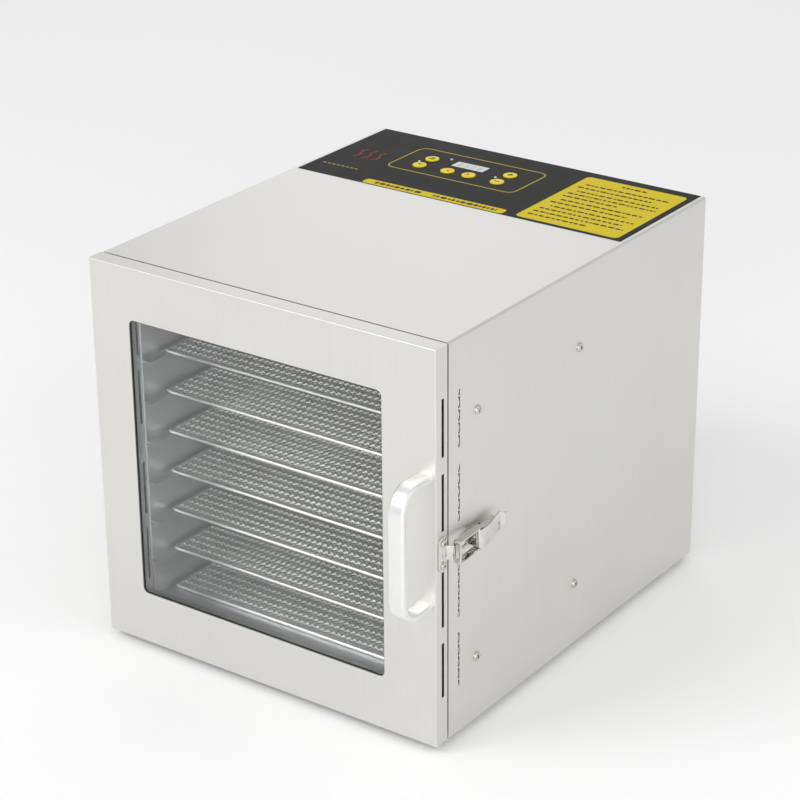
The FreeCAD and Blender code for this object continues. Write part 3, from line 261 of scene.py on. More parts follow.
anodised = grainy("blasted_anodised_aluminium", "#F4F4F2", "#EAEAE7", 0.6 * MM, 1.0, 0.42, 0.15)
stamped_aluminium = grainy("stamped_aluminium", "#DCDDDE", "#C4C6C8", 1.2 * MM, 1.0, 0.36, 0.2)
black_paint = grainy("sprayed_black_enamel", "#26272A", "#1B1C1E", 0.5 * MM, 0.0, 0.45, 0.3, {"IOR": 1.5})
oxidised = grainy("oxidised_heater_sheath", "#8B7F72", "#5C554E", 1.5 * MM, 1.0, 0.5, 0.4)
print("made", anodised.name, stamped_aluminium.name, black_paint.name, oxidised.name)

# %% [markdown]
# ## Rubber, plastics, film and glass
# The door seal, the gasket and the feet are moulded rubber: nearly black, dull, with a fine bloom. The
# control panel is a printed film with a faint orange-peel texture, and the buttons are domes pressed into
# it under a glossy lacquer. The boards carry a green solder mask with darker copper tracks under it. The
# pane is clear tempered glass, which has an IOR of 1.52 and almost no colour. A renderer throws a full
# shadow behind refracting glass, so for shadow rays alone the pane is plainly transparent and the chamber
# stays lit.

# %% Soft and moulded materials
MATT_PRINT = {"IOR": 1.5, "Specular IOR Level": 0.12}
LACQUER = {"IOR": 1.5, "Specular IOR Level": 0.25}
black_rubber = grainy("moulded_black_rubber", "#2E2D2B", "#1E1D1C", 0.4 * MM, 0.0, 0.62, 0.4, {"IOR": 1.52})
black_nylon = grainy("moulded_black_nylon", "#222224", "#17171A", 0.3 * MM, 0.0, 0.42, 0.3, {"IOR": 1.53})
panel_film = grainy("printed_black_film", "#171412", "#100E0D", 0.7 * MM, 0.0, 0.5, 0.2, MATT_PRINT)
display_film = grainy("grey_display_window", "#C9CBC9", "#B9BBBA", 2.0 * MM, 0.0, 0.16, 0.05, {"IOR": 1.5})
yellow_dome = grainy("yellow_button_dome", "#EBD312", "#DDC20C", 0.5 * MM, 0.0, 0.36, 0.15, LACQUER)
print("made", black_rubber.name, black_nylon.name, panel_film.name, display_film.name, yellow_dome.name)

# %% Circuit board
TRACK = 2.4 * MM
COPPER_FROM = 0.45  # how high the pattern rises before it counts as a track
circuit_board, tree, shader = surface("green_solder_mask", {"Roughness": 0.35, "IOR": 1.55})
place = add(tree, "ShaderNodeTexCoord").outputs["Object"]
stripes = add(tree, "ShaderNodeTexVoronoi", {
    "Vector": place, "Scale": 1 / TRACK, "Randomness": 0.35}, distance="MANHATTAN").outputs["Distance"]
copper = add(tree, "ShaderNodeMath", {0: stripes, 1: COPPER_FROM}, operation="GREATER_THAN").outputs["Value"]
tree.links.new(tinted(tree, copper, "#1F6B3B", "#134527"), shader.inputs["Base Color"])
print("made", circuit_board.name)

# %% Clear glass
glass, tree, shader = surface("clear_tempered_glass", {
    "Base Color": linear("#FDFFFE"), "Roughness": 0.02, "IOR": 1.52, "Transmission Weight": 1.0})
wave = patches(tree, 120 * MM)
ripple = add(tree, "ShaderNodeBump", {"Height": wave, "Strength": 0.05, "Distance": 0.1 * MM})
tree.links.new(ripple.outputs["Normal"], shader.inputs["Normal"])
lamp_ray = add(tree, "ShaderNodeLightPath").outputs["Is Shadow Ray"]
clear = add(tree, "ShaderNodeBsdfTransparent", {"Color": linear("#FDFFFE")}).outputs["BSDF"]
passed = add(tree, "ShaderNodeMixShader", {0: lamp_ray, 1: shader.outputs["BSDF"], 2: clear}).outputs[0]
tree.links.new(passed, tree.nodes["Material Output"].inputs["Surface"])
print("made", glass.name)

# %% [markdown]
# ## A finish for every part
# The record names a finish for each part, so one table from the record's names to these materials dresses
# the whole frame. A part that is modelled again further down keeps the same table.

# %% Dress the frame
FINISH = {
    "brushed_stainless": satin_stainless, "liner_stainless": mill_stainless, "galvanised_steel": galvanised,
    "tray_wire": drawn_wire, "vent_mesh": drawn_wire, "screw_steel": nickel_plate,
    "polished_stainless": tumbled_stainless, "satin_aluminium": anodised, "clear_glass": glass,
    "black_rubber": black_rubber, "panel_film": panel_film, "yellow_buttons": yellow_dome,
    "display_grey": display_film, "fan_aluminium": stamped_aluminium, "motor_steel": black_paint,
    "heater_sheath": oxidised, "circuit_board": circuit_board, "black_nylon": black_nylon,
}
slot_of = {part["node"]: part["material_slot"] for part in frame["record"]["subparts"]}
body_of = {node: body for body, nodes in frame["record"]["behaviour"]["bodies"].items() for node in nodes}
for node, part in frame["nodes"].items():
    part.data.materials.clear()
    part.data.materials.append(FINISH[slot_of[node]])
print("dressed", len(slot_of), "parts in", len(FINISH), "finishes")

# %% [markdown]
# ## Modelling by hand, in code
# A new piece starts from a primitive at its size and place, and is shaped in edit mode. Operators act on
# all that is selected, so each step first deselects everything, and then picks faces, edges or points by
# where they are. A finished piece sits at the origin with its place in its mesh, as the frame's own parts
# do.

# %% Modelling helpers
def begin():
    """Back to object mode with nothing selected."""
    if bpy.context.mode != "OBJECT":
        bpy.ops.object.mode_set(mode="OBJECT")
    bpy.ops.object.select_all(action="DESELECT")


def settle(name):
    """Names the new primitive and moves its place, turn and size into its mesh."""
    piece = bpy.context.object
    bpy.ops.object.transform_apply(location=True, rotation=True, scale=True)
    piece.name = piece.data.name = name
    return piece


def block(name, low, high):
    """A box between two corners, ready to be shaped."""
    begin()
    low, high = Vector(low), Vector(high)
    bpy.ops.mesh.primitive_cube_add(size=1, location=(low + high) / 2, scale=high - low)
    return settle(name)


def rod(name, middle, radius, length, axis, sides=24):
    """A cylinder along X, Y or Z, ready to be shaped."""
    begin()
    turn = {"X": (0, math.pi / 2, 0), "Y": (math.pi / 2, 0, 0), "Z": (0, 0, 0)}[axis]
    bpy.ops.mesh.primitive_cylinder_add(
        vertices=sides, radius=radius, depth=length, location=middle, rotation=turn)
    return settle(name)


def choose(piece, kind, wanted):
    """Opens the piece in edit mode with its faces, edges or points that wanted(place, direction) accepts."""
    begin()
    piece.select_set(True)
    bpy.context.view_layer.objects.active = piece
    bpy.ops.object.mode_set(mode="EDIT")
    bpy.ops.mesh.select_mode(type=kind)
    bpy.ops.mesh.select_all(action="DESELECT")
    bpy.ops.object.mode_set(mode="OBJECT")
    points = piece.data.vertices
    if kind == "FACE":
        for face in piece.data.polygons:
            face.select = wanted(face.center, face.normal)
    elif kind == "EDGE":
        for edge in piece.data.edges:
            start, end = (points[i].co for i in edge.vertices)
            edge.select = wanted((start + end) / 2, (end - start).normalized())
    else:
        for point in points:
            point.select = wanted(point.co, point.normal)
    bpy.ops.object.mode_set(mode="EDIT")


def everything(place, direction):
    """Accepts every face, edge or point."""
    return True


def modify(piece, kind, **settings):
    """Adds a modifier with those settings and applies it."""
    begin()
    piece.select_set(True)
    bpy.context.view_layer.objects.active = piece
    modifier = piece.modifiers.new(kind, kind)
    for name, value in settings.items():
        setattr(modifier, name, value)
    bpy.ops.object.modifier_apply(modifier=modifier.name)


def round_edges(piece, width, segments=3):
    """Rounds every sharp edge and shades the piece smooth between them."""
    modify(piece, "BEVEL", width=width, segments=segments, limit_method="ANGLE", angle_limit=math.radians(35))
    bpy.ops.object.shade_smooth_by_angle(angle=math.radians(38))


def copy_of(piece, name, move=(0, 0, 0)):
    """A copy with a mesh of its own, moved within its mesh."""
    twin = piece.copy()
    twin.data = piece.data.copy()
    twin.name = twin.data.name = name
    bpy.context.scene.collection.objects.link(twin)
    twin.data.transform(Matrix.Translation(Vector(move)))
    return twin


def joined(name, pieces):
    """Joins several pieces into one."""
    begin()
    for piece in pieces:
        piece.select_set(True)
    bpy.context.view_layer.objects.active = pieces[0]
    if len(pieces) > 1:
        bpy.ops.object.join()
    pieces[0].name = pieces[0].data.name = name
    return pieces[0]


def fit(piece, *nodes):
    """Lets the finished piece stand for those parts, which it hides: it rides on their body and takes their
    finish when it has none of its own.
    """
    begin()
    if not piece.data.materials:
        piece.data.materials.append(FINISH[slot_of[nodes[0]]])
    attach(piece, body_of[nodes[0]])
    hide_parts(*nodes)
    piece.data.calc_loop_triangles()
    print(f"{piece.name}: {len(piece.data.loop_triangles)} triangles on {body_of[nodes[0]]}")


# %% [markdown]
# ## Woven wire trays
# A tray is woven from crimped wire inside a round bar. The wires across the tray are 1.7 mm thick and stand
# 9.8 mm apart, and the thinner ones from front to back stand 2.7 mm apart. Each wire goes over one
# neighbour and under the next, and the tops of the crimps catch the light as rows of bright dashes. A wave
# modifier on a straight wire could crimp it, but a short piece of wire, bisected where it bends and lifted
# there, costs fewer faces and gives the flat-topped crimps of real mesh. Array modifiers then repeat it
# along the wire and across the tray.

# %% Weaving helpers
KNUCKLE = 0.24  # half the flat top of a crimp, as a share of the pitch


def crimped_pair(name, wire, pitch, apart, lift):
    """Two neighbouring wires along X, two pitches long, crimped in opposite ways, starting at the origin."""
    begin()
    bpy.ops.mesh.primitive_cylinder_add(
        vertices=6, radius=wire / 2, depth=2 * pitch, end_fill_type="NOTHING",
        location=(pitch, 0, 0), rotation=(math.pi / 2, 0, math.pi / 2))
    over = settle(name)
    bends = [pitch * at for at in (KNUCKLE, 1 - KNUCKLE, 1 + KNUCKLE, 2 - KNUCKLE)]
    for at in bends:
        choose(over, "FACE", everything)
        bpy.ops.mesh.bisect(plane_co=(at, 0, 0), plane_no=(1, 0, 0))
    for sign, wanted in (
            (1, lambda place, _: place.x < bends[0] * 1.01 or place.x > bends[3] * 0.999),
            (-1, lambda place, _: bends[1] * 0.999 < place.x < bends[2] * 1.001)):
        choose(over, "VERT", wanted)
        bpy.ops.transform.translate(value=(0, 0, sign * lift))
    begin()
    under = copy_of(over, name + "_under")
    choose(under, "FACE", everything)
    bpy.ops.transform.resize(value=(1, 1, -1), center_override=(0, 0, 0))
    bpy.ops.mesh.flip_normals()
    bpy.ops.transform.translate(value=(0, apart, 0))
    return joined(name, [over, under])


def wire_layer(name, wire, steps, area, lift):
    """Crimped wires along X over an area from the origin. steps are the pitches along and between wires."""
    along, apart = (side / (2 * round(side / step / 2)) for side, step in zip(area, steps))
    layer = crimped_pair(name, wire, along, apart, lift)
    modify(layer, "ARRAY", count=round(area[0] / along / 2), use_relative_offset=False,
           use_constant_offset=True, constant_offset_displace=(2 * along, 0, 0), use_merge_vertices=True,
           merge_threshold=0.01 * MM)
    modify(layer, "ARRAY", count=round(area[1] / apart / 2), use_relative_offset=False,
           use_constant_offset=True, constant_offset_displace=(0, 2 * apart, 0))
    return layer


def woven_mesh(name, wires, steps, lift, low, high):
    """Crimped wires across (first) and back (second), woven, in the level rectangle between two corners."""
    area = (high.x - low.x, high.y - low.y)
    across = wire_layer(name, wires[0], steps, area, lift)
    back = wire_layer(name + "_back", wires[1], steps[::-1], area[::-1], -lift)
    back.data.transform(Matrix.Rotation(-math.pi / 2, 4, "Z"))
    back.data.transform(Matrix.Translation((0, area[1], 0)))
    mesh = joined(name, [across, back])
    mesh.data.transform(Matrix.Translation((low.x, low.y, (low.z + high.z) / 2)))
    return mesh


def round_bar_ring(name, low, high, bar, corner):
    """A closed ring of round bar that stays within a flat box: a plane's outline with rounded corners."""
    begin()
    bpy.ops.mesh.primitive_plane_add(size=1, location=(low + high) / 2)
    ring = bpy.context.object
    ring.scale = (high.x - low.x - bar, high.y - low.y - bar, 1)
    ring = settle(name)
    choose(ring, "VERT", everything)
    bpy.ops.mesh.bevel(offset=corner, segments=5, affect="VERTICES")
    bpy.ops.mesh.select_all(action="SELECT")
    bpy.ops.mesh.delete(type="ONLY_FACE")
    begin()
    ring.select_set(True)
    bpy.context.view_layer.objects.active = ring
    bpy.ops.object.convert(target="CURVE")
    ring.data.bevel_depth = bar / 2
    ring.data.bevel_resolution = 3
    bpy.ops.object.convert(target="MESH")
    return bpy.context.object


# %% Weave one tray
WIRES = (1.7 * MM, 1.1 * MM)  # across, and from front to back
MESH_STEPS = (2.7 * MM, 9.8 * MM)  # along a wire that runs across, and between two of them
CRIMP = 0.66 * MM
RIM_BAR = 2.9 * MM
RIM_CORNER = 6 * MM

low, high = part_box("tray_1")
inset = Vector((RIM_BAR * 0.6, RIM_BAR * 0.6, 0))
first_tray = joined("woven_tray_1", [
    woven_mesh("woven_tray_1", WIRES, MESH_STEPS, CRIMP, low + inset, high - inset),
    round_bar_ring("rim", low, high, RIM_BAR, RIM_CORNER)])
bpy.ops.object.shade_smooth()

# %% [markdown]
# The other seven trays are copies of the first, each moved up to where its own part stands.

# %% Copy the trays
for number in range(1, 9):
    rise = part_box(f"tray_{number}")[0].z - low.z
    tray = first_tray if number == 1 else copy_of(first_tray, f"woven_tray_{number}", (0, 0, rise))
    fit(tray, f"tray_{number}")

# %% [markdown]
# ## The pull handle
# The handle is a flat aluminium bar with rounded edges, bent twice into a C and screwed to the door from
# inside. Its section is drawn once, as a plane with bevelled corners, and then travels as the bar does: an
# extrusion out of the door, a spin round the first bend, the grip, the second bend and back. The bends are
# a little more than square, so the feet stand closer together than the grip is long: a taper about the
# grip's middle leans the legs. A curve with a bevel object could do it all, but would pinch the section in
# the bends.

# %% Bend the handle
low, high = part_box("handle")
BAR_THICK = 5.5 * MM
BEND = 21.25 * MM
BEND_STEPS = 12
BAR_CORNER = 2.1 * MM
begin()
bpy.ops.mesh.primitive_plane_add(
    size=1, location=((low.x + high.x) / 2, high.y, low.z + BAR_THICK / 2), rotation=(math.pi / 2, 0, 0))
handle = bpy.context.object
handle.scale = (high.x - low.x, BAR_THICK, 1)
handle = settle("pull_handle")
choose(handle, "VERT", everything)
bpy.ops.mesh.bevel(offset=BAR_CORNER, segments=4, affect="VERTICES")
leg = (high.y - low.y) - BAR_THICK / 2 - BEND
grip = (high.z - low.z) - BAR_THICK - 2 * BEND
bpy.ops.mesh.select_all(action="SELECT")
bpy.ops.mesh.extrude_region_move(TRANSFORM_OT_translate={"value": (0, -leg, 0)})
bend_low = (0, high.y - leg, low.z + BAR_THICK / 2 + BEND)
bpy.ops.mesh.spin(steps=BEND_STEPS, angle=math.pi / 2, center=bend_low, axis=(1, 0, 0))
bpy.ops.mesh.extrude_region_move(TRANSFORM_OT_translate={"value": (0, 0, grip)})
bend_high = (0, high.y - leg, high.z - BAR_THICK / 2 - BEND)
bpy.ops.mesh.spin(steps=BEND_STEPS, angle=math.pi / 2, center=bend_high, axis=(1, 0, 0))
bpy.ops.mesh.extrude_region_move(TRANSFORM_OT_translate={"value": (0, leg, 0)})
bpy.ops.mesh.select_all(action="SELECT")
bpy.ops.mesh.remove_doubles(threshold=0.001 * MM)
bpy.ops.mesh.normals_make_consistent(inside=False)
begin()

# %% Lean its legs
HANDLE_LEAN = 2.4 * MM
grip_middle = Vector((0, low.y, (low.z + high.z) / 2))
handle.data.transform(Matrix.Translation(-grip_middle))
modify(handle, "SIMPLE_DEFORM", deform_method="TAPER", deform_axis="Y", lock_x=True,
       factor=-2 * HANDLE_LEAN / (high.z - low.z))
handle.data.transform(Matrix.Translation(grip_middle))
begin()
handle.select_set(True)
bpy.ops.object.shade_smooth_by_angle(angle=math.radians(30))
fit(handle, "handle")

# %% [markdown]
# ## Screws
# The screws that show, at the sides, the back and the strike, are pan heads with a cross recess. One is
# modelled at the origin, pointing up: a cylinder whose rim is rounded, with a cross cut into the crown and
# a shank drawn out of its seat. Copies are turned and moved to where the frame has its screws, which a
# merged copy of each group of screws, split into loose pieces, tells. The hinges and the handle keep the
# frame's own screws.

# %% Model one screw
HEAD_RADIUS, HEAD_TALL = 3.9 * MM, 2.0 * MM
RECESS_WIDE, RECESS_LONG, RECESS_DEEP = 1.05 * MM, 4.4 * MM, 1.1 * MM
SHANK = 5 * MM
CROWN = 0.72  # how much of the head's height its rounding takes
SEAT = 0.52  # how much of the head's radius is seat beside the shank


def pan_head(name, radius, tall):
    """A pan-head screw that stands on the origin, its shank below."""
    screw = rod(name, (0, 0, tall / 2), radius, tall, "Z", sides=28)
    choose(screw, "EDGE", lambda place, along: place.z > tall * 0.99)
    bpy.ops.mesh.bevel(offset=tall * CROWN, segments=4, affect="EDGES")
    choose(screw, "FACE", lambda place, normal: normal.z < -0.9)
    bpy.ops.mesh.inset(thickness=radius * SEAT)
    bpy.ops.mesh.extrude_region_move(TRANSFORM_OT_translate={"value": (0, 0, -SHANK)})
    share = radius / HEAD_RADIUS
    long, wide, deep = RECESS_LONG * share / 2, RECESS_WIDE * share / 2, RECESS_DEEP * share
    for turn in (0, math.pi / 2):
        arm = block("recess", (-long, -wide, tall - deep), (long, wide, tall + 1 * MM))
        choose(arm, "FACE", lambda place, normal: normal.z < -0.9)
        bpy.ops.transform.resize(value=(0.62, 0.8, 1))
        choose(arm, "FACE", everything)
        bpy.ops.transform.rotate(value=turn, orient_axis="Z", center_override=(0, 0, 0))
        modify(screw, "BOOLEAN", operation="DIFFERENCE", object=arm)
        bpy.data.objects.remove(arm)
    begin()
    screw.select_set(True)
    bpy.ops.object.shade_smooth_by_angle(angle=math.radians(40))
    return screw


def solids_of(node):
    """The corners of each separate solid in a part, found on a merged copy that is thrown away."""
    probe = copy_of(frame["nodes"][node], "probe")
    choose(probe, "VERT", everything)
    bpy.ops.mesh.remove_doubles(threshold=0.001 * MM)
    bpy.ops.mesh.separate(type="LOOSE")
    begin()
    boxes = []
    for loose in [o for o in bpy.context.scene.objects if o.name.startswith("probe")]:
        points = [point.co for point in loose.data.vertices]
        boxes.append(tuple(Vector([pick(p[i] for p in points) for i in range(3)]) for pick in (min, max)))
        bpy.data.objects.remove(loose)
    return sorted(boxes, key=lambda box: tuple(box[0]))


def screws_for(node, name, out, seat, radius=HEAD_RADIUS, tall=HEAD_TALL):
    """One piece with a screw at each of the node's solids. out and seat give its outward way and its seat."""
    boxes = solids_of(node)
    model = pan_head("model_screw", radius, tall)
    made = []
    for number, box in enumerate(boxes):
        way = Vector(out(box))
        upright = Vector((0, 0, 1)).rotation_difference(way).to_matrix().to_4x4()
        spin = Quaternion((0, 0, 1), 0.5 + 1.1 * number).to_matrix().to_4x4()
        screw = copy_of(model, f"{name}_{number}")
        screw.data.transform(Matrix.Translation(seat(box)) @ upright @ spin)
        made.append(screw)
    bpy.data.objects.remove(model)
    print(node, "has", len(boxes), "screws")
    fit(joined(name, made), node)


# %% Side, back and strike screws
STRIP = 1.2 * MM  # the sheet that the latch is pressed from
STRIKE_HEAD_RADIUS, STRIKE_HEAD_TALL = 3.0 * MM, 1.9 * MM


def middle(box):
    """The middle of a box between two corners."""
    return (box[0] + box[1]) / 2


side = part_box("outer_shell")[1].x
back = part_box("back_panel")[1].y
screws_for("side_screws", "pan_screws_side", lambda box: (1 if middle(box).x > 0 else -1, 0, 0),
           lambda box: Vector((side if middle(box).x > 0 else -side, middle(box).y, middle(box).z)))
screws_for("back_screws", "pan_screws_back", lambda box: (0, 1, 0),
           lambda box: Vector((middle(box).x, back, middle(box).z)))
strike_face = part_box("latch_strike")[0].x + STRIP
screws_for("strike_screws", "pan_screws_strike", lambda box: (1, 0, 0),
           lambda box: Vector((strike_face, middle(box).y, middle(box).z)),
           radius=STRIKE_HEAD_RADIUS, tall=STRIKE_HEAD_TALL)

# %% [markdown]
# ## The toggle latch
# The latch pulls the door shut. A stadium-shaped strike plate with a hooked lip is screwed to the door's
# edge. On the cabinet a pressed base carries a lever, rolled round its pin, and the lever draws a bail over
# the lip. Each part is bent from strip, so each starts as blocks whose ends are drawn out by extrusion, and
# gets rounded edges. One folded sheet with Solidify could give a part too, but blocks keep the strip's
# thickness in hand.

# %% Strike plate
low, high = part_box("latch_strike")
ROUND_END = 0.47  # how much of the plate's width each corner takes, which leaves nearly round ends
LIP_TALL = 12 * MM
LIP_RISE, LIP_TIP = (4.2 * MM, 3.4 * MM, 0), (1.6 * MM, -0.6 * MM, 0)
BURR = 0.35 * MM  # how far tumbling has rounded the edges
plate = block("door_strike", low, (low.x + STRIP, high.y, high.z))
lip_low = (low.z + high.z) / 2 - LIP_TALL / 2
choose(plate, "EDGE", lambda place, along: abs(along.x) > 0.9)
bpy.ops.mesh.bevel(offset=(high.y - low.y) * ROUND_END, segments=9, affect="EDGES")
round_edges(plate, BURR, 2)
lip = block("strike_lip", (low.x + 0.3 * MM, low.y + 5.2 * MM, lip_low),
            (low.x + 1.6 * MM, low.y + 9.4 * MM, lip_low + LIP_TALL))
choose(lip, "FACE", lambda place, normal: normal.y > 0.9)
for move in (LIP_RISE, LIP_TIP):
    bpy.ops.mesh.extrude_region_move(TRANSFORM_OT_translate={"value": move})
round_edges(lip, BURR, 2)
fit(joined("door_strike", [plate, lip]), "latch_strike")

# %% [markdown]
# The bail is a loop of flat strip that stands on edge. Its front, which hooks over the lip, has a slot
# punched through it, two arms lead back beside the lever, and a cross pin joins them.

# %% Bail
low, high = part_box("latch_bail")
pin_low, pin_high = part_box("latch_pivot_pin")
pivot = (pin_low + pin_high) / 2
BAIL_STRIP = 1.3 * MM
BAIL_FRONT = low.y + 6.5 * MM
BAIL_IN, BAIL_OUT = high.x - 3.6 * MM, high.x + 3.2 * MM
BAIL_TALL = 19 * MM
SLOT_HALF = 6.6 * MM
SLOT_CORNER, FRONT_CORNER = 1.3 * MM, 2.4 * MM
CROSS_PIN = 1.1 * MM
front = block("latch_bail_loop", (BAIL_IN, BAIL_FRONT, pivot.z - BAIL_TALL / 2),
              (BAIL_OUT, BAIL_FRONT + BAIL_STRIP, pivot.z + BAIL_TALL / 2))
slot = block("slot", (BAIL_IN + 2.2 * MM, BAIL_FRONT - 1 * MM, pivot.z - SLOT_HALF),
             (BAIL_OUT - 1.9 * MM, BAIL_FRONT + 3 * MM, pivot.z + SLOT_HALF))
choose(slot, "EDGE", lambda place, along: abs(along.y) > 0.9)
bpy.ops.mesh.bevel(offset=SLOT_CORNER, segments=4, affect="EDGES")
choose(front, "EDGE", lambda place, along: abs(along.y) > 0.9)
bpy.ops.mesh.bevel(offset=FRONT_CORNER, segments=5, affect="EDGES")
modify(front, "BOOLEAN", operation="DIFFERENCE", object=slot)
bpy.data.objects.remove(slot)
round_edges(front, 0.3 * MM, 2)
arms = []
for sign in (-1, 1):
    edge = pivot.z + sign * (BAIL_TALL / 2 - BAIL_STRIP / 2)
    arm = block("bail_arm", (BAIL_IN, BAIL_FRONT + 0.3 * MM, edge - BAIL_STRIP / 2),
                (BAIL_OUT, BAIL_FRONT + 6 * MM, edge + BAIL_STRIP / 2))
    choose(arm, "FACE", lambda place, normal: normal.y > 0.9)
    bpy.ops.mesh.extrude_region_move(
        TRANSFORM_OT_translate={"value": (-1.4 * MM, high.y - BAIL_FRONT - 7 * MM, 0)})
    round_edges(arm, BURR, 2)
    arms.append(arm)
cross = rod("bail_cross_pin", (BAIL_IN + 0.6 * MM, high.y - 2.2 * MM, pivot.z), CROSS_PIN, BAIL_TALL, "Z",
            sides=16)
fit(joined("latch_bail_loop", [front, cross] + arms), "latch_bail")

# %% [markdown]
# The lever's plate is rolled round the pin at its front and curls up at its rear, where a finger lifts it. It
# starts as a short block behind the barrel and is drawn out length by length. A rib and two side flanges
# stiffen it, as a press would fold them.

# %% Lever
LEVER_TALL = 16.2 * MM
BARREL = 3.4 * MM
RIB = 1.0 * MM
barrel = rod("lever_barrel", pivot + Vector((1.4 * MM, 1.0 * MM, 0)), BARREL, LEVER_TALL, "Z", sides=28)
round_edges(barrel, 0.6 * MM, 2)
outer = pivot.x + 1.4 * MM + BARREL
plate = block("latch_lever_pressing", (outer - STRIP, pivot.y, pivot.z - LEVER_TALL / 2),
              (outer, pivot.y + 7 * MM, pivot.z + LEVER_TALL / 2))


def draw_out(piece, move, size, lift):
    """Extrudes the rear end of a strip by a move, and scales and lifts the new end."""
    rear = max(point.co.y for point in piece.data.vertices) - 0.01 * MM
    choose(piece, "FACE", lambda place, normal: place.y > rear)
    bpy.ops.mesh.extrude_region_move(TRANSFORM_OT_translate={"value": move})
    bpy.ops.transform.resize(value=size)
    bpy.ops.transform.translate(value=(0, 0, lift))


# Millimetres out, back and up for each length of the plate, the new end's size, and how far it is lifted.
PLATE_RUN = (
    ((-3.6, 16, 1.2), (1, 1, 1.06), 0.0),
    ((-0.9, 6.5, 0.5), (1, 1, 0.96), 0.0),
    ((0.2, 3.2, 0), (1, 1, 0.62), 3.2),
    ((1.0, 2.6, 0), (1, 1, 0.75), 0.8),
    ((1.8, 1.2, 0), (0.8, 1, 0.9), 0.0))
for move, size, lift in PLATE_RUN:
    draw_out(plate, tuple(length * MM for length in move), size, lift * MM)
round_edges(plate, BURR, 2)

# %% Rib and flanges of the lever
rib_middle = Vector((outer - 2.6 * MM, pivot.y + 15 * MM, pivot.z + 2.0 * MM))
rib = rod("lever_rib", rib_middle, RIB, 20 * MM, "Y", sides=16)
round_edges(rib, RIB * 0.8, 2)
choose(rib, "FACE", everything)
plate_turn = -math.atan2(3.6, 16)  # the way the plate's first length runs
bpy.ops.transform.rotate(value=plate_turn, orient_axis="Z", center_override=rib_middle)
begin()
flanges = []
for sign in (-1, 1):
    edge = pivot.z + sign * (LEVER_TALL / 2 - STRIP / 2)
    flange = block("lever_flange", (pivot.x - 2.6 * MM, pivot.y - 1.6 * MM, edge - STRIP / 2),
                   (outer - 0.6 * MM, pivot.y + 7 * MM, edge + STRIP / 2))
    choose(flange, "FACE", lambda place, normal: normal.y > 0.9)
    bpy.ops.mesh.extrude_region_move(
        TRANSFORM_OT_translate={"value": (-1.6 * MM, 15 * MM, 1.2 * MM + sign * 0.4 * MM)})
    bpy.ops.transform.resize(value=(0.35, 1, 1))
    round_edges(flange, 0.3 * MM, 2)
    flanges.append(flange)
fit(joined("latch_lever_pressing", [plate, barrel, rib] + flanges), "latch_lever")

# %% [markdown]
# The base is a flat sole with two ears that carry the pin. Each ear is a block whose outer face is scaled, so
# that it narrows towards the pin.

# %% Base
low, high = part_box("latch_base")
BASE_HALF = 6.6 * MM
SOLE_CORNER = 2.0 * MM
sole = block("latch_base_pressing", (low.x, low.y - 4 * MM, pivot.z - BASE_HALF),
             (low.x + STRIP, high.y + 3 * MM, pivot.z + BASE_HALF))
choose(sole, "EDGE", lambda place, along: abs(along.x) > 0.9)
bpy.ops.mesh.bevel(offset=SOLE_CORNER, segments=4, affect="EDGES")
round_edges(sole, 0.3 * MM, 2)
ears = []
for sign in (-1, 1):
    edge = pivot.z + sign * (BASE_HALF - STRIP / 2)
    ear = block("base_ear", (low.x + 0.4 * MM, pivot.y - 4.5 * MM, edge - STRIP / 2),
                (pivot.x + 2.2 * MM, pivot.y + 8 * MM, edge + STRIP / 2))
    choose(ear, "FACE", lambda place, normal: normal.x > 0.9)
    bpy.ops.transform.resize(value=(1, 0.4, 1))
    bpy.ops.transform.translate(value=(0, -1.5 * MM, 0))
    round_edges(ear, 0.4 * MM, 2)
    ears.append(ear)
fit(joined("latch_base_pressing", [sole] + ears), "latch_base")

# %% [markdown]
# ## Mesh behind the air slots
# A strip of woven mesh behind the cabinet's side slots keeps insects out. It is the trays' weave again,
# with wires of one thickness at one spacing both ways, turned upright.

# %% Weave the vent strips
VENT_WIRE = 1.1 * MM
VENT_PITCH = 5.2 * MM
VENT_CRIMP = 0.3 * MM
for label in ("left", "right"):
    low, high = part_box(f"vent_mesh_{label}")
    tall, deep = high.z - low.z, high.y - low.y
    strip = woven_mesh(f"vent_weave_{label}", (VENT_WIRE, VENT_WIRE), (VENT_PITCH, VENT_PITCH), VENT_CRIMP,
                       Vector((0, 0, 0)), Vector((tall, deep, 0)))
    choose(strip, "FACE", everything)
    bpy.ops.transform.rotate(value=-math.pi / 2, orient_axis="Y", center_override=(0, 0, 0))
    begin()
    corner = Vector([min(point.co[i] for point in strip.data.vertices) for i in range(3)])
    far = Vector([max(point.co[i] for point in strip.data.vertices) for i in range(3)])
    strip.data.transform(Matrix.Translation((low + high) / 2 - (corner + far) / 2))
    strip.select_set(True)
    bpy.ops.object.shade_smooth()
    fit(strip, f"vent_mesh_{label}")

# %% [markdown]
# ## Prints on the control panel
# The film on the top is screen-printed: a gold line round the controls, a yellow banner along its front
# edge, a yellow block of operating notes, a warm-air sign, and a dark or orange sign on each button. Ink
# lies on the film in a layer of a few hundredths of a millimetre. An image could carry it, but here each
# shape is a plane with rounded corners, and Solidify gives every ink its thickness. The notes are plain
# dashes, with no words.

# %% Inks
INK = 0.06 * MM


def screen_ink(name, colour, shade):
    """A matt ink with the fine grain that the screen's mesh leaves."""
    return grainy(name, colour, shade, 0.6 * MM, 0.0, 0.5, 0.1, MATT_PRINT)


yellow_ink = screen_ink("yellow_screen_ink", "#D9C30A", "#CDB706")
gold_ink = screen_ink("gold_screen_ink", "#B59F2C", "#A48F22")
dark_ink = screen_ink("dark_screen_ink", "#453A14", "#33290D")
red_ink = screen_ink("red_screen_ink", "#8E2A2A", "#7A2222")
orange_ink = screen_ink("orange_screen_ink", "#D9541E", "#C74715")
film_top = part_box("panel_overlay")[1].z


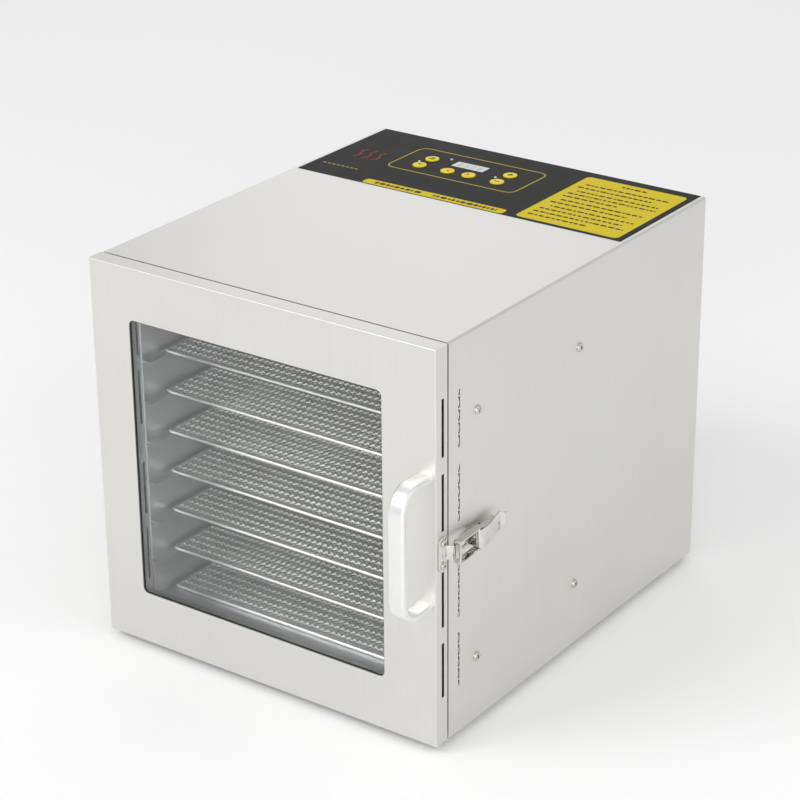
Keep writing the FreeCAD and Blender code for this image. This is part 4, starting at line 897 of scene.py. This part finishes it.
def patch(middle, wide, deep, corner, turn=0.0, steps=4):
    """A flat printed shape: a rectangle with rounded corners, turned about its middle."""
    begin()
    bpy.ops.mesh.primitive_plane_add(size=1, location=(0, 0, 0))
    shape = bpy.context.object
    shape.scale = (wide, deep, 1)
    shape = settle("patch")
    choose(shape, "VERT", everything)
    bpy.ops.mesh.bevel(offset=corner, segments=steps, affect="VERTICES")
    begin()
    shape.data.transform(Matrix.Translation(Vector(middle)) @ Matrix.Rotation(turn, 4, "Z"))
    return shape


def printed(name, shapes, ink, body="cabinet"):
    """Joins the shapes of one ink, gives them the ink's thickness and lets them ride on a body."""
    layer = joined(name, shapes)
    modify(layer, "SOLIDIFY", thickness=INK, offset=1.0)
    layer.data.materials.append(ink)
    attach(layer, body)
    print(name, "has", len(shapes), "shapes")


# %% Gold line, banner and notes
GOLD_LINE = 1.4 * MM
BANNER_BACK = 5.7 * MM  # from the film's front edge to the banner's middle
panel_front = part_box("panel_overlay")[0].y
gold = patch((-37.7 * MM, panel_front + 76.5 * MM, film_top), 132.5 * MM, 60 * MM, 8.5 * MM, steps=8)
choose(gold, "FACE", everything)
bpy.ops.mesh.inset(thickness=GOLD_LINE)
bpy.ops.mesh.delete(type="FACE")
begin()
printed("print_gold_line", [gold], gold_ink)
banner = patch((-23.5 * MM, panel_front + BANNER_BACK, film_top), 143 * MM, 10.4 * MM, 3 * MM)
notes = patch((108 * MM, panel_front + 62 * MM, film_top), 98 * MM, 117 * MM, 4.5 * MM)
printed("print_yellow_fields", [banner, notes], yellow_ink)

# %% Dashes in place of words
dice = random.Random(4)
DASH_TALL = 2.7 * MM
dashes = []


def dash_row(start, end, y, tall):
    """Dashes of uneven length from start to end along X."""
    at = start
    while at < end:
        length = min(dice.uniform(2.2, 6.5) * MM, end - at)
        if length > 1 * MM:
            dashes.append(patch((at + length / 2, y, film_top + INK), length, tall, tall * 0.3, steps=1))
        at += length + dice.uniform(0.7, 1.4) * MM


# How far down each row of the notes stands, and where it starts and ends, in millimetres.
NOTE_ROWS = (
    (16, 9, 90), (24.5, 6, 78), (34, 11, 90), (42, 7, 92), (50, 7, 60), (59.5, 11, 90),
    (68, 6, 80), (77.5, 12, 92), (86, 7, 86), (94.5, 6, 92), (103, 6, 62))
HEADING_TALL, BANNER_DASH_TALL = 3.0 * MM, 4.6 * MM
notes_left, notes_back = 59 * MM, panel_front + 120.5 * MM
dash_row(notes_left + 38 * MM, notes_left + 62 * MM, notes_back - 8 * MM, HEADING_TALL)
for down, start, end in NOTE_ROWS:
    dash_row(notes_left + start * MM, notes_left + end * MM, notes_back - (down + 3) * MM, DASH_TALL)
for start, end in ((-84, -34), (-24, 40)):
    dash_row(start * MM, end * MM, panel_front + BANNER_BACK, BANNER_DASH_TALL)
printed("print_dashes", dashes, dark_ink)

# %% Signs at the left
WAVE_APART, WAVE_SWING, WAVE_PHASE = 10, 1.6, 1.2  # millimetres, millimetres, and radians per patch
waves = []
for column in range(3):
    for row in range(6):
        across = -141 + WAVE_APART * column + WAVE_SWING * math.sin(row * WAVE_PHASE)
        waves.append(patch(
            (across * MM, panel_front + (54 + 3.6 * row) * MM, film_top),
            2.2 * MM, 4.4 * MM, 0.9 * MM, turn=-0.35 * math.cos(row * WAVE_PHASE), steps=2))
printed("print_warm_air_sign", waves, red_ink)
line = [patch(((-152 + 4.8 * n) * MM, panel_front + 25 * MM, film_top), 3.6 * MM, 1.5 * MM, 0.5 * MM, steps=1)
        for n in range(8)]
printed("print_gold_dashes", line, gold_ink)

# %% [markdown]
# Each button's sign moves with its button, so it rides on the button's body. The bars and arrows are built
# from the same patches.

# %% Signs on the buttons
SIGN = 1.1 * MM  # how thick a sign's bars are
SIGN_CORNER = 0.3 * MM


def arrow(middle, way):
    """Two short bars that meet in a point, facing way (an angle about Z)."""
    bars = []
    for side_turn in (-1, 1):
        turn = way + side_turn * math.radians(42)
        shift = Vector((math.cos(turn), math.sin(turn), 0)) * -1.5 * MM
        bars.append(patch(middle + shift, 4.2 * MM, SIGN, SIGN_CORNER, turn, steps=1))
    return bars


def sign_bars(middle, kind):
    """The sign on one button."""
    if kind == "menu":
        return [patch(middle + Vector((0, step * 2.1 * MM, 0)), 5.4 * MM, SIGN, SIGN_CORNER, steps=1)
                for step in (-1, 0, 1)]
    if kind in ("minus", "plus"):
        bars = [patch(middle, 6.0 * MM, SIGN * 1.2, SIGN_CORNER, steps=1)]
        if kind == "plus":
            bars.append(patch(middle, SIGN * 1.2, 6.0 * MM, SIGN_CORNER, steps=1))
        return bars
    return arrow(middle, {"down": -math.pi / 2, "left": math.pi, "right": 0.0}[kind])


for kind in ("menu", "down", "left", "right", "minus", "plus"):
    low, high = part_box(f"button_{kind}")
    top = Vector(((low.x + high.x) / 2, (low.y + high.y) / 2, high.z))
    ink = orange_ink if kind in ("left", "right") else dark_ink
    printed(f"print_sign_{kind}", sign_bars(top, kind), ink, f"button_{kind}")

# %% [markdown]
# Three small lamps stand through the film. Each is the end of a clear resin lamp: a short cylinder whose
# rim is rounded into a dome. Cast resin is glossy, so its shader has a coat.

# %% Lamps
LAMPS = ((-63.6, 91.9), (-84.5, 72.2), (-5.9, 73.7))  # across and back on the film, in millimetres
LAMP_RADIUS, LAMP_TALL = 1.3 * MM, 0.9 * MM
lamp_resin = surface("clear_lamp_resin", {
    "Base Color": linear("#C9CFCB"), "Roughness": 0.15, "IOR": 1.53, "Coat Weight": 0.6})[0]
lamps = []
for x, back_by in LAMPS:
    seat = (x * MM, panel_front + back_by * MM, film_top + 0.4 * MM)
    dome = rod("lamp", seat, LAMP_RADIUS, LAMP_TALL, "Z", sides=20)
    choose(dome, "EDGE", lambda place, along: place.z > film_top + 0.8 * MM)
    bpy.ops.mesh.bevel(offset=0.7 * MM, segments=4, affect="EDGES")
    lamps.append(dome)
lamps = joined("panel_lamps", lamps)
bpy.ops.object.shade_smooth()
lamps.data.materials.append(lamp_resin)
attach(lamps, "cabinet")
print(lamps.name, "has", len(LAMPS), "lamps")

# %% [markdown]
# The display shows a number in grey seven-segment digits on a grey window. Each segment is one patch, named
# by the usual letters a to g, and a digit is the set of its letters.

# %% Display
low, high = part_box("display_window")
SHOWN = "6508"
DIGIT_TALL = 5.6 * MM
SEGMENTS = {"0": "abcdef", "6": "acdefg", "5": "acdfg", "8": "abcdefg"}


def digit(middle, value, tall):
    """A seven-segment digit."""
    half, wide = tall / 2, tall * 0.5
    places = {"a": (0, half, 0), "g": (0, 0, 0), "d": (0, -half, 0), "f": (-wide / 2, half / 2, 1),
              "b": (wide / 2, half / 2, 1), "e": (-wide / 2, -half / 2, 1), "c": (wide / 2, -half / 2, 1)}
    bars = []
    for name in SEGMENTS[value]:
        x, y, upright = places[name]
        bars.append(patch(middle + Vector((x, y, 0)), wide * 0.8, 0.6 * MM, 0.15 * MM,
                          upright * math.pi / 2, steps=1))
    return bars


digits = []
for number, value in enumerate(SHOWN):
    x = low.x + (high.x - low.x) * (0.2 + 0.2 * number)
    digits += digit(Vector((x, (low.y + high.y) / 2, high.z)), value, DIGIT_TALL)
grey_ink = grainy("grey_display_ink", "#8B8E90", "#7E8183", 1.0 * MM, 0.0, 0.4, 0.05, {"IOR": 1.5})
printed("display_digits", digits, grey_ink)

# %% [markdown]
# ## Studio
# The machine stands on a plain white floor that runs out of view, under a white sky, so that steel has
# something pale to reflect. A large soft box high in front on the left is the main light, and a weaker one
# on the right lifts the side. Two faint ones light the back and the floor beside the machine. The picture
# is shown through the plain sRGB curve, which leaves white as white.

# %% Floor and light
bpy.context.scene.view_settings.view_transform = "Standard"

FLOOR_SIZE = 16
SKY_STRENGTH = 0.70
begin()
bpy.ops.mesh.primitive_plane_add(size=FLOOR_SIZE, location=(0, 0, 0))
floor = settle("studio_floor")
floor_white = surface("matt_white_floor", {"Base Color": linear("#FCFCFC"), "Roughness": 0.9})[0]
floor.data.materials.append(floor_white)

world = bpy.data.worlds.new("white_studio")
bpy.context.scene.world = world
world.use_nodes = True
world.node_tree.nodes.clear()
sky = add(world.node_tree, "ShaderNodeBackground", {"Color": linear("#FFFFFF"), "Strength": SKY_STRENGTH})
add(world.node_tree, "ShaderNodeOutputWorld", {"Surface": sky.outputs["Background"]})


def softbox(name, place, aim, size, power):
    """A large square area light at place that faces aim."""
    data = bpy.data.lights.new(name, "AREA")
    data.shape = "SQUARE"
    data.size = size
    data.energy = power
    lamp = bpy.data.objects.new(name, data)
    bpy.context.scene.collection.objects.link(lamp)
    lamp.location = place
    lamp.rotation_mode = "QUATERNION"
    lamp.rotation_quaternion = (Vector(aim) - Vector(place)).to_track_quat("-Z", "Y")


softbox("key_light", (-1.4, -2.2, 2.6), (0, 0, 0.2), 1.6, 34)
softbox("fill_light", (1.4, -1.9, 0.9), (0, 0, 0.2), 1.2, 14)
softbox("back_light", (-1.6, 2.3, 1.6), (0, 0, 0.35), 1.2, 3.1)
softbox("floor_light", (2.0, 0.0, 1.8), (1.2, 0.0, 0), 0.9, 6)
print("lit by a white sky and", len(bpy.data.lights), "soft boxes")

# %% [markdown]
# ## Finish
# The last cell goes back to object mode with nothing selected.

# %% Back to object mode
begin()
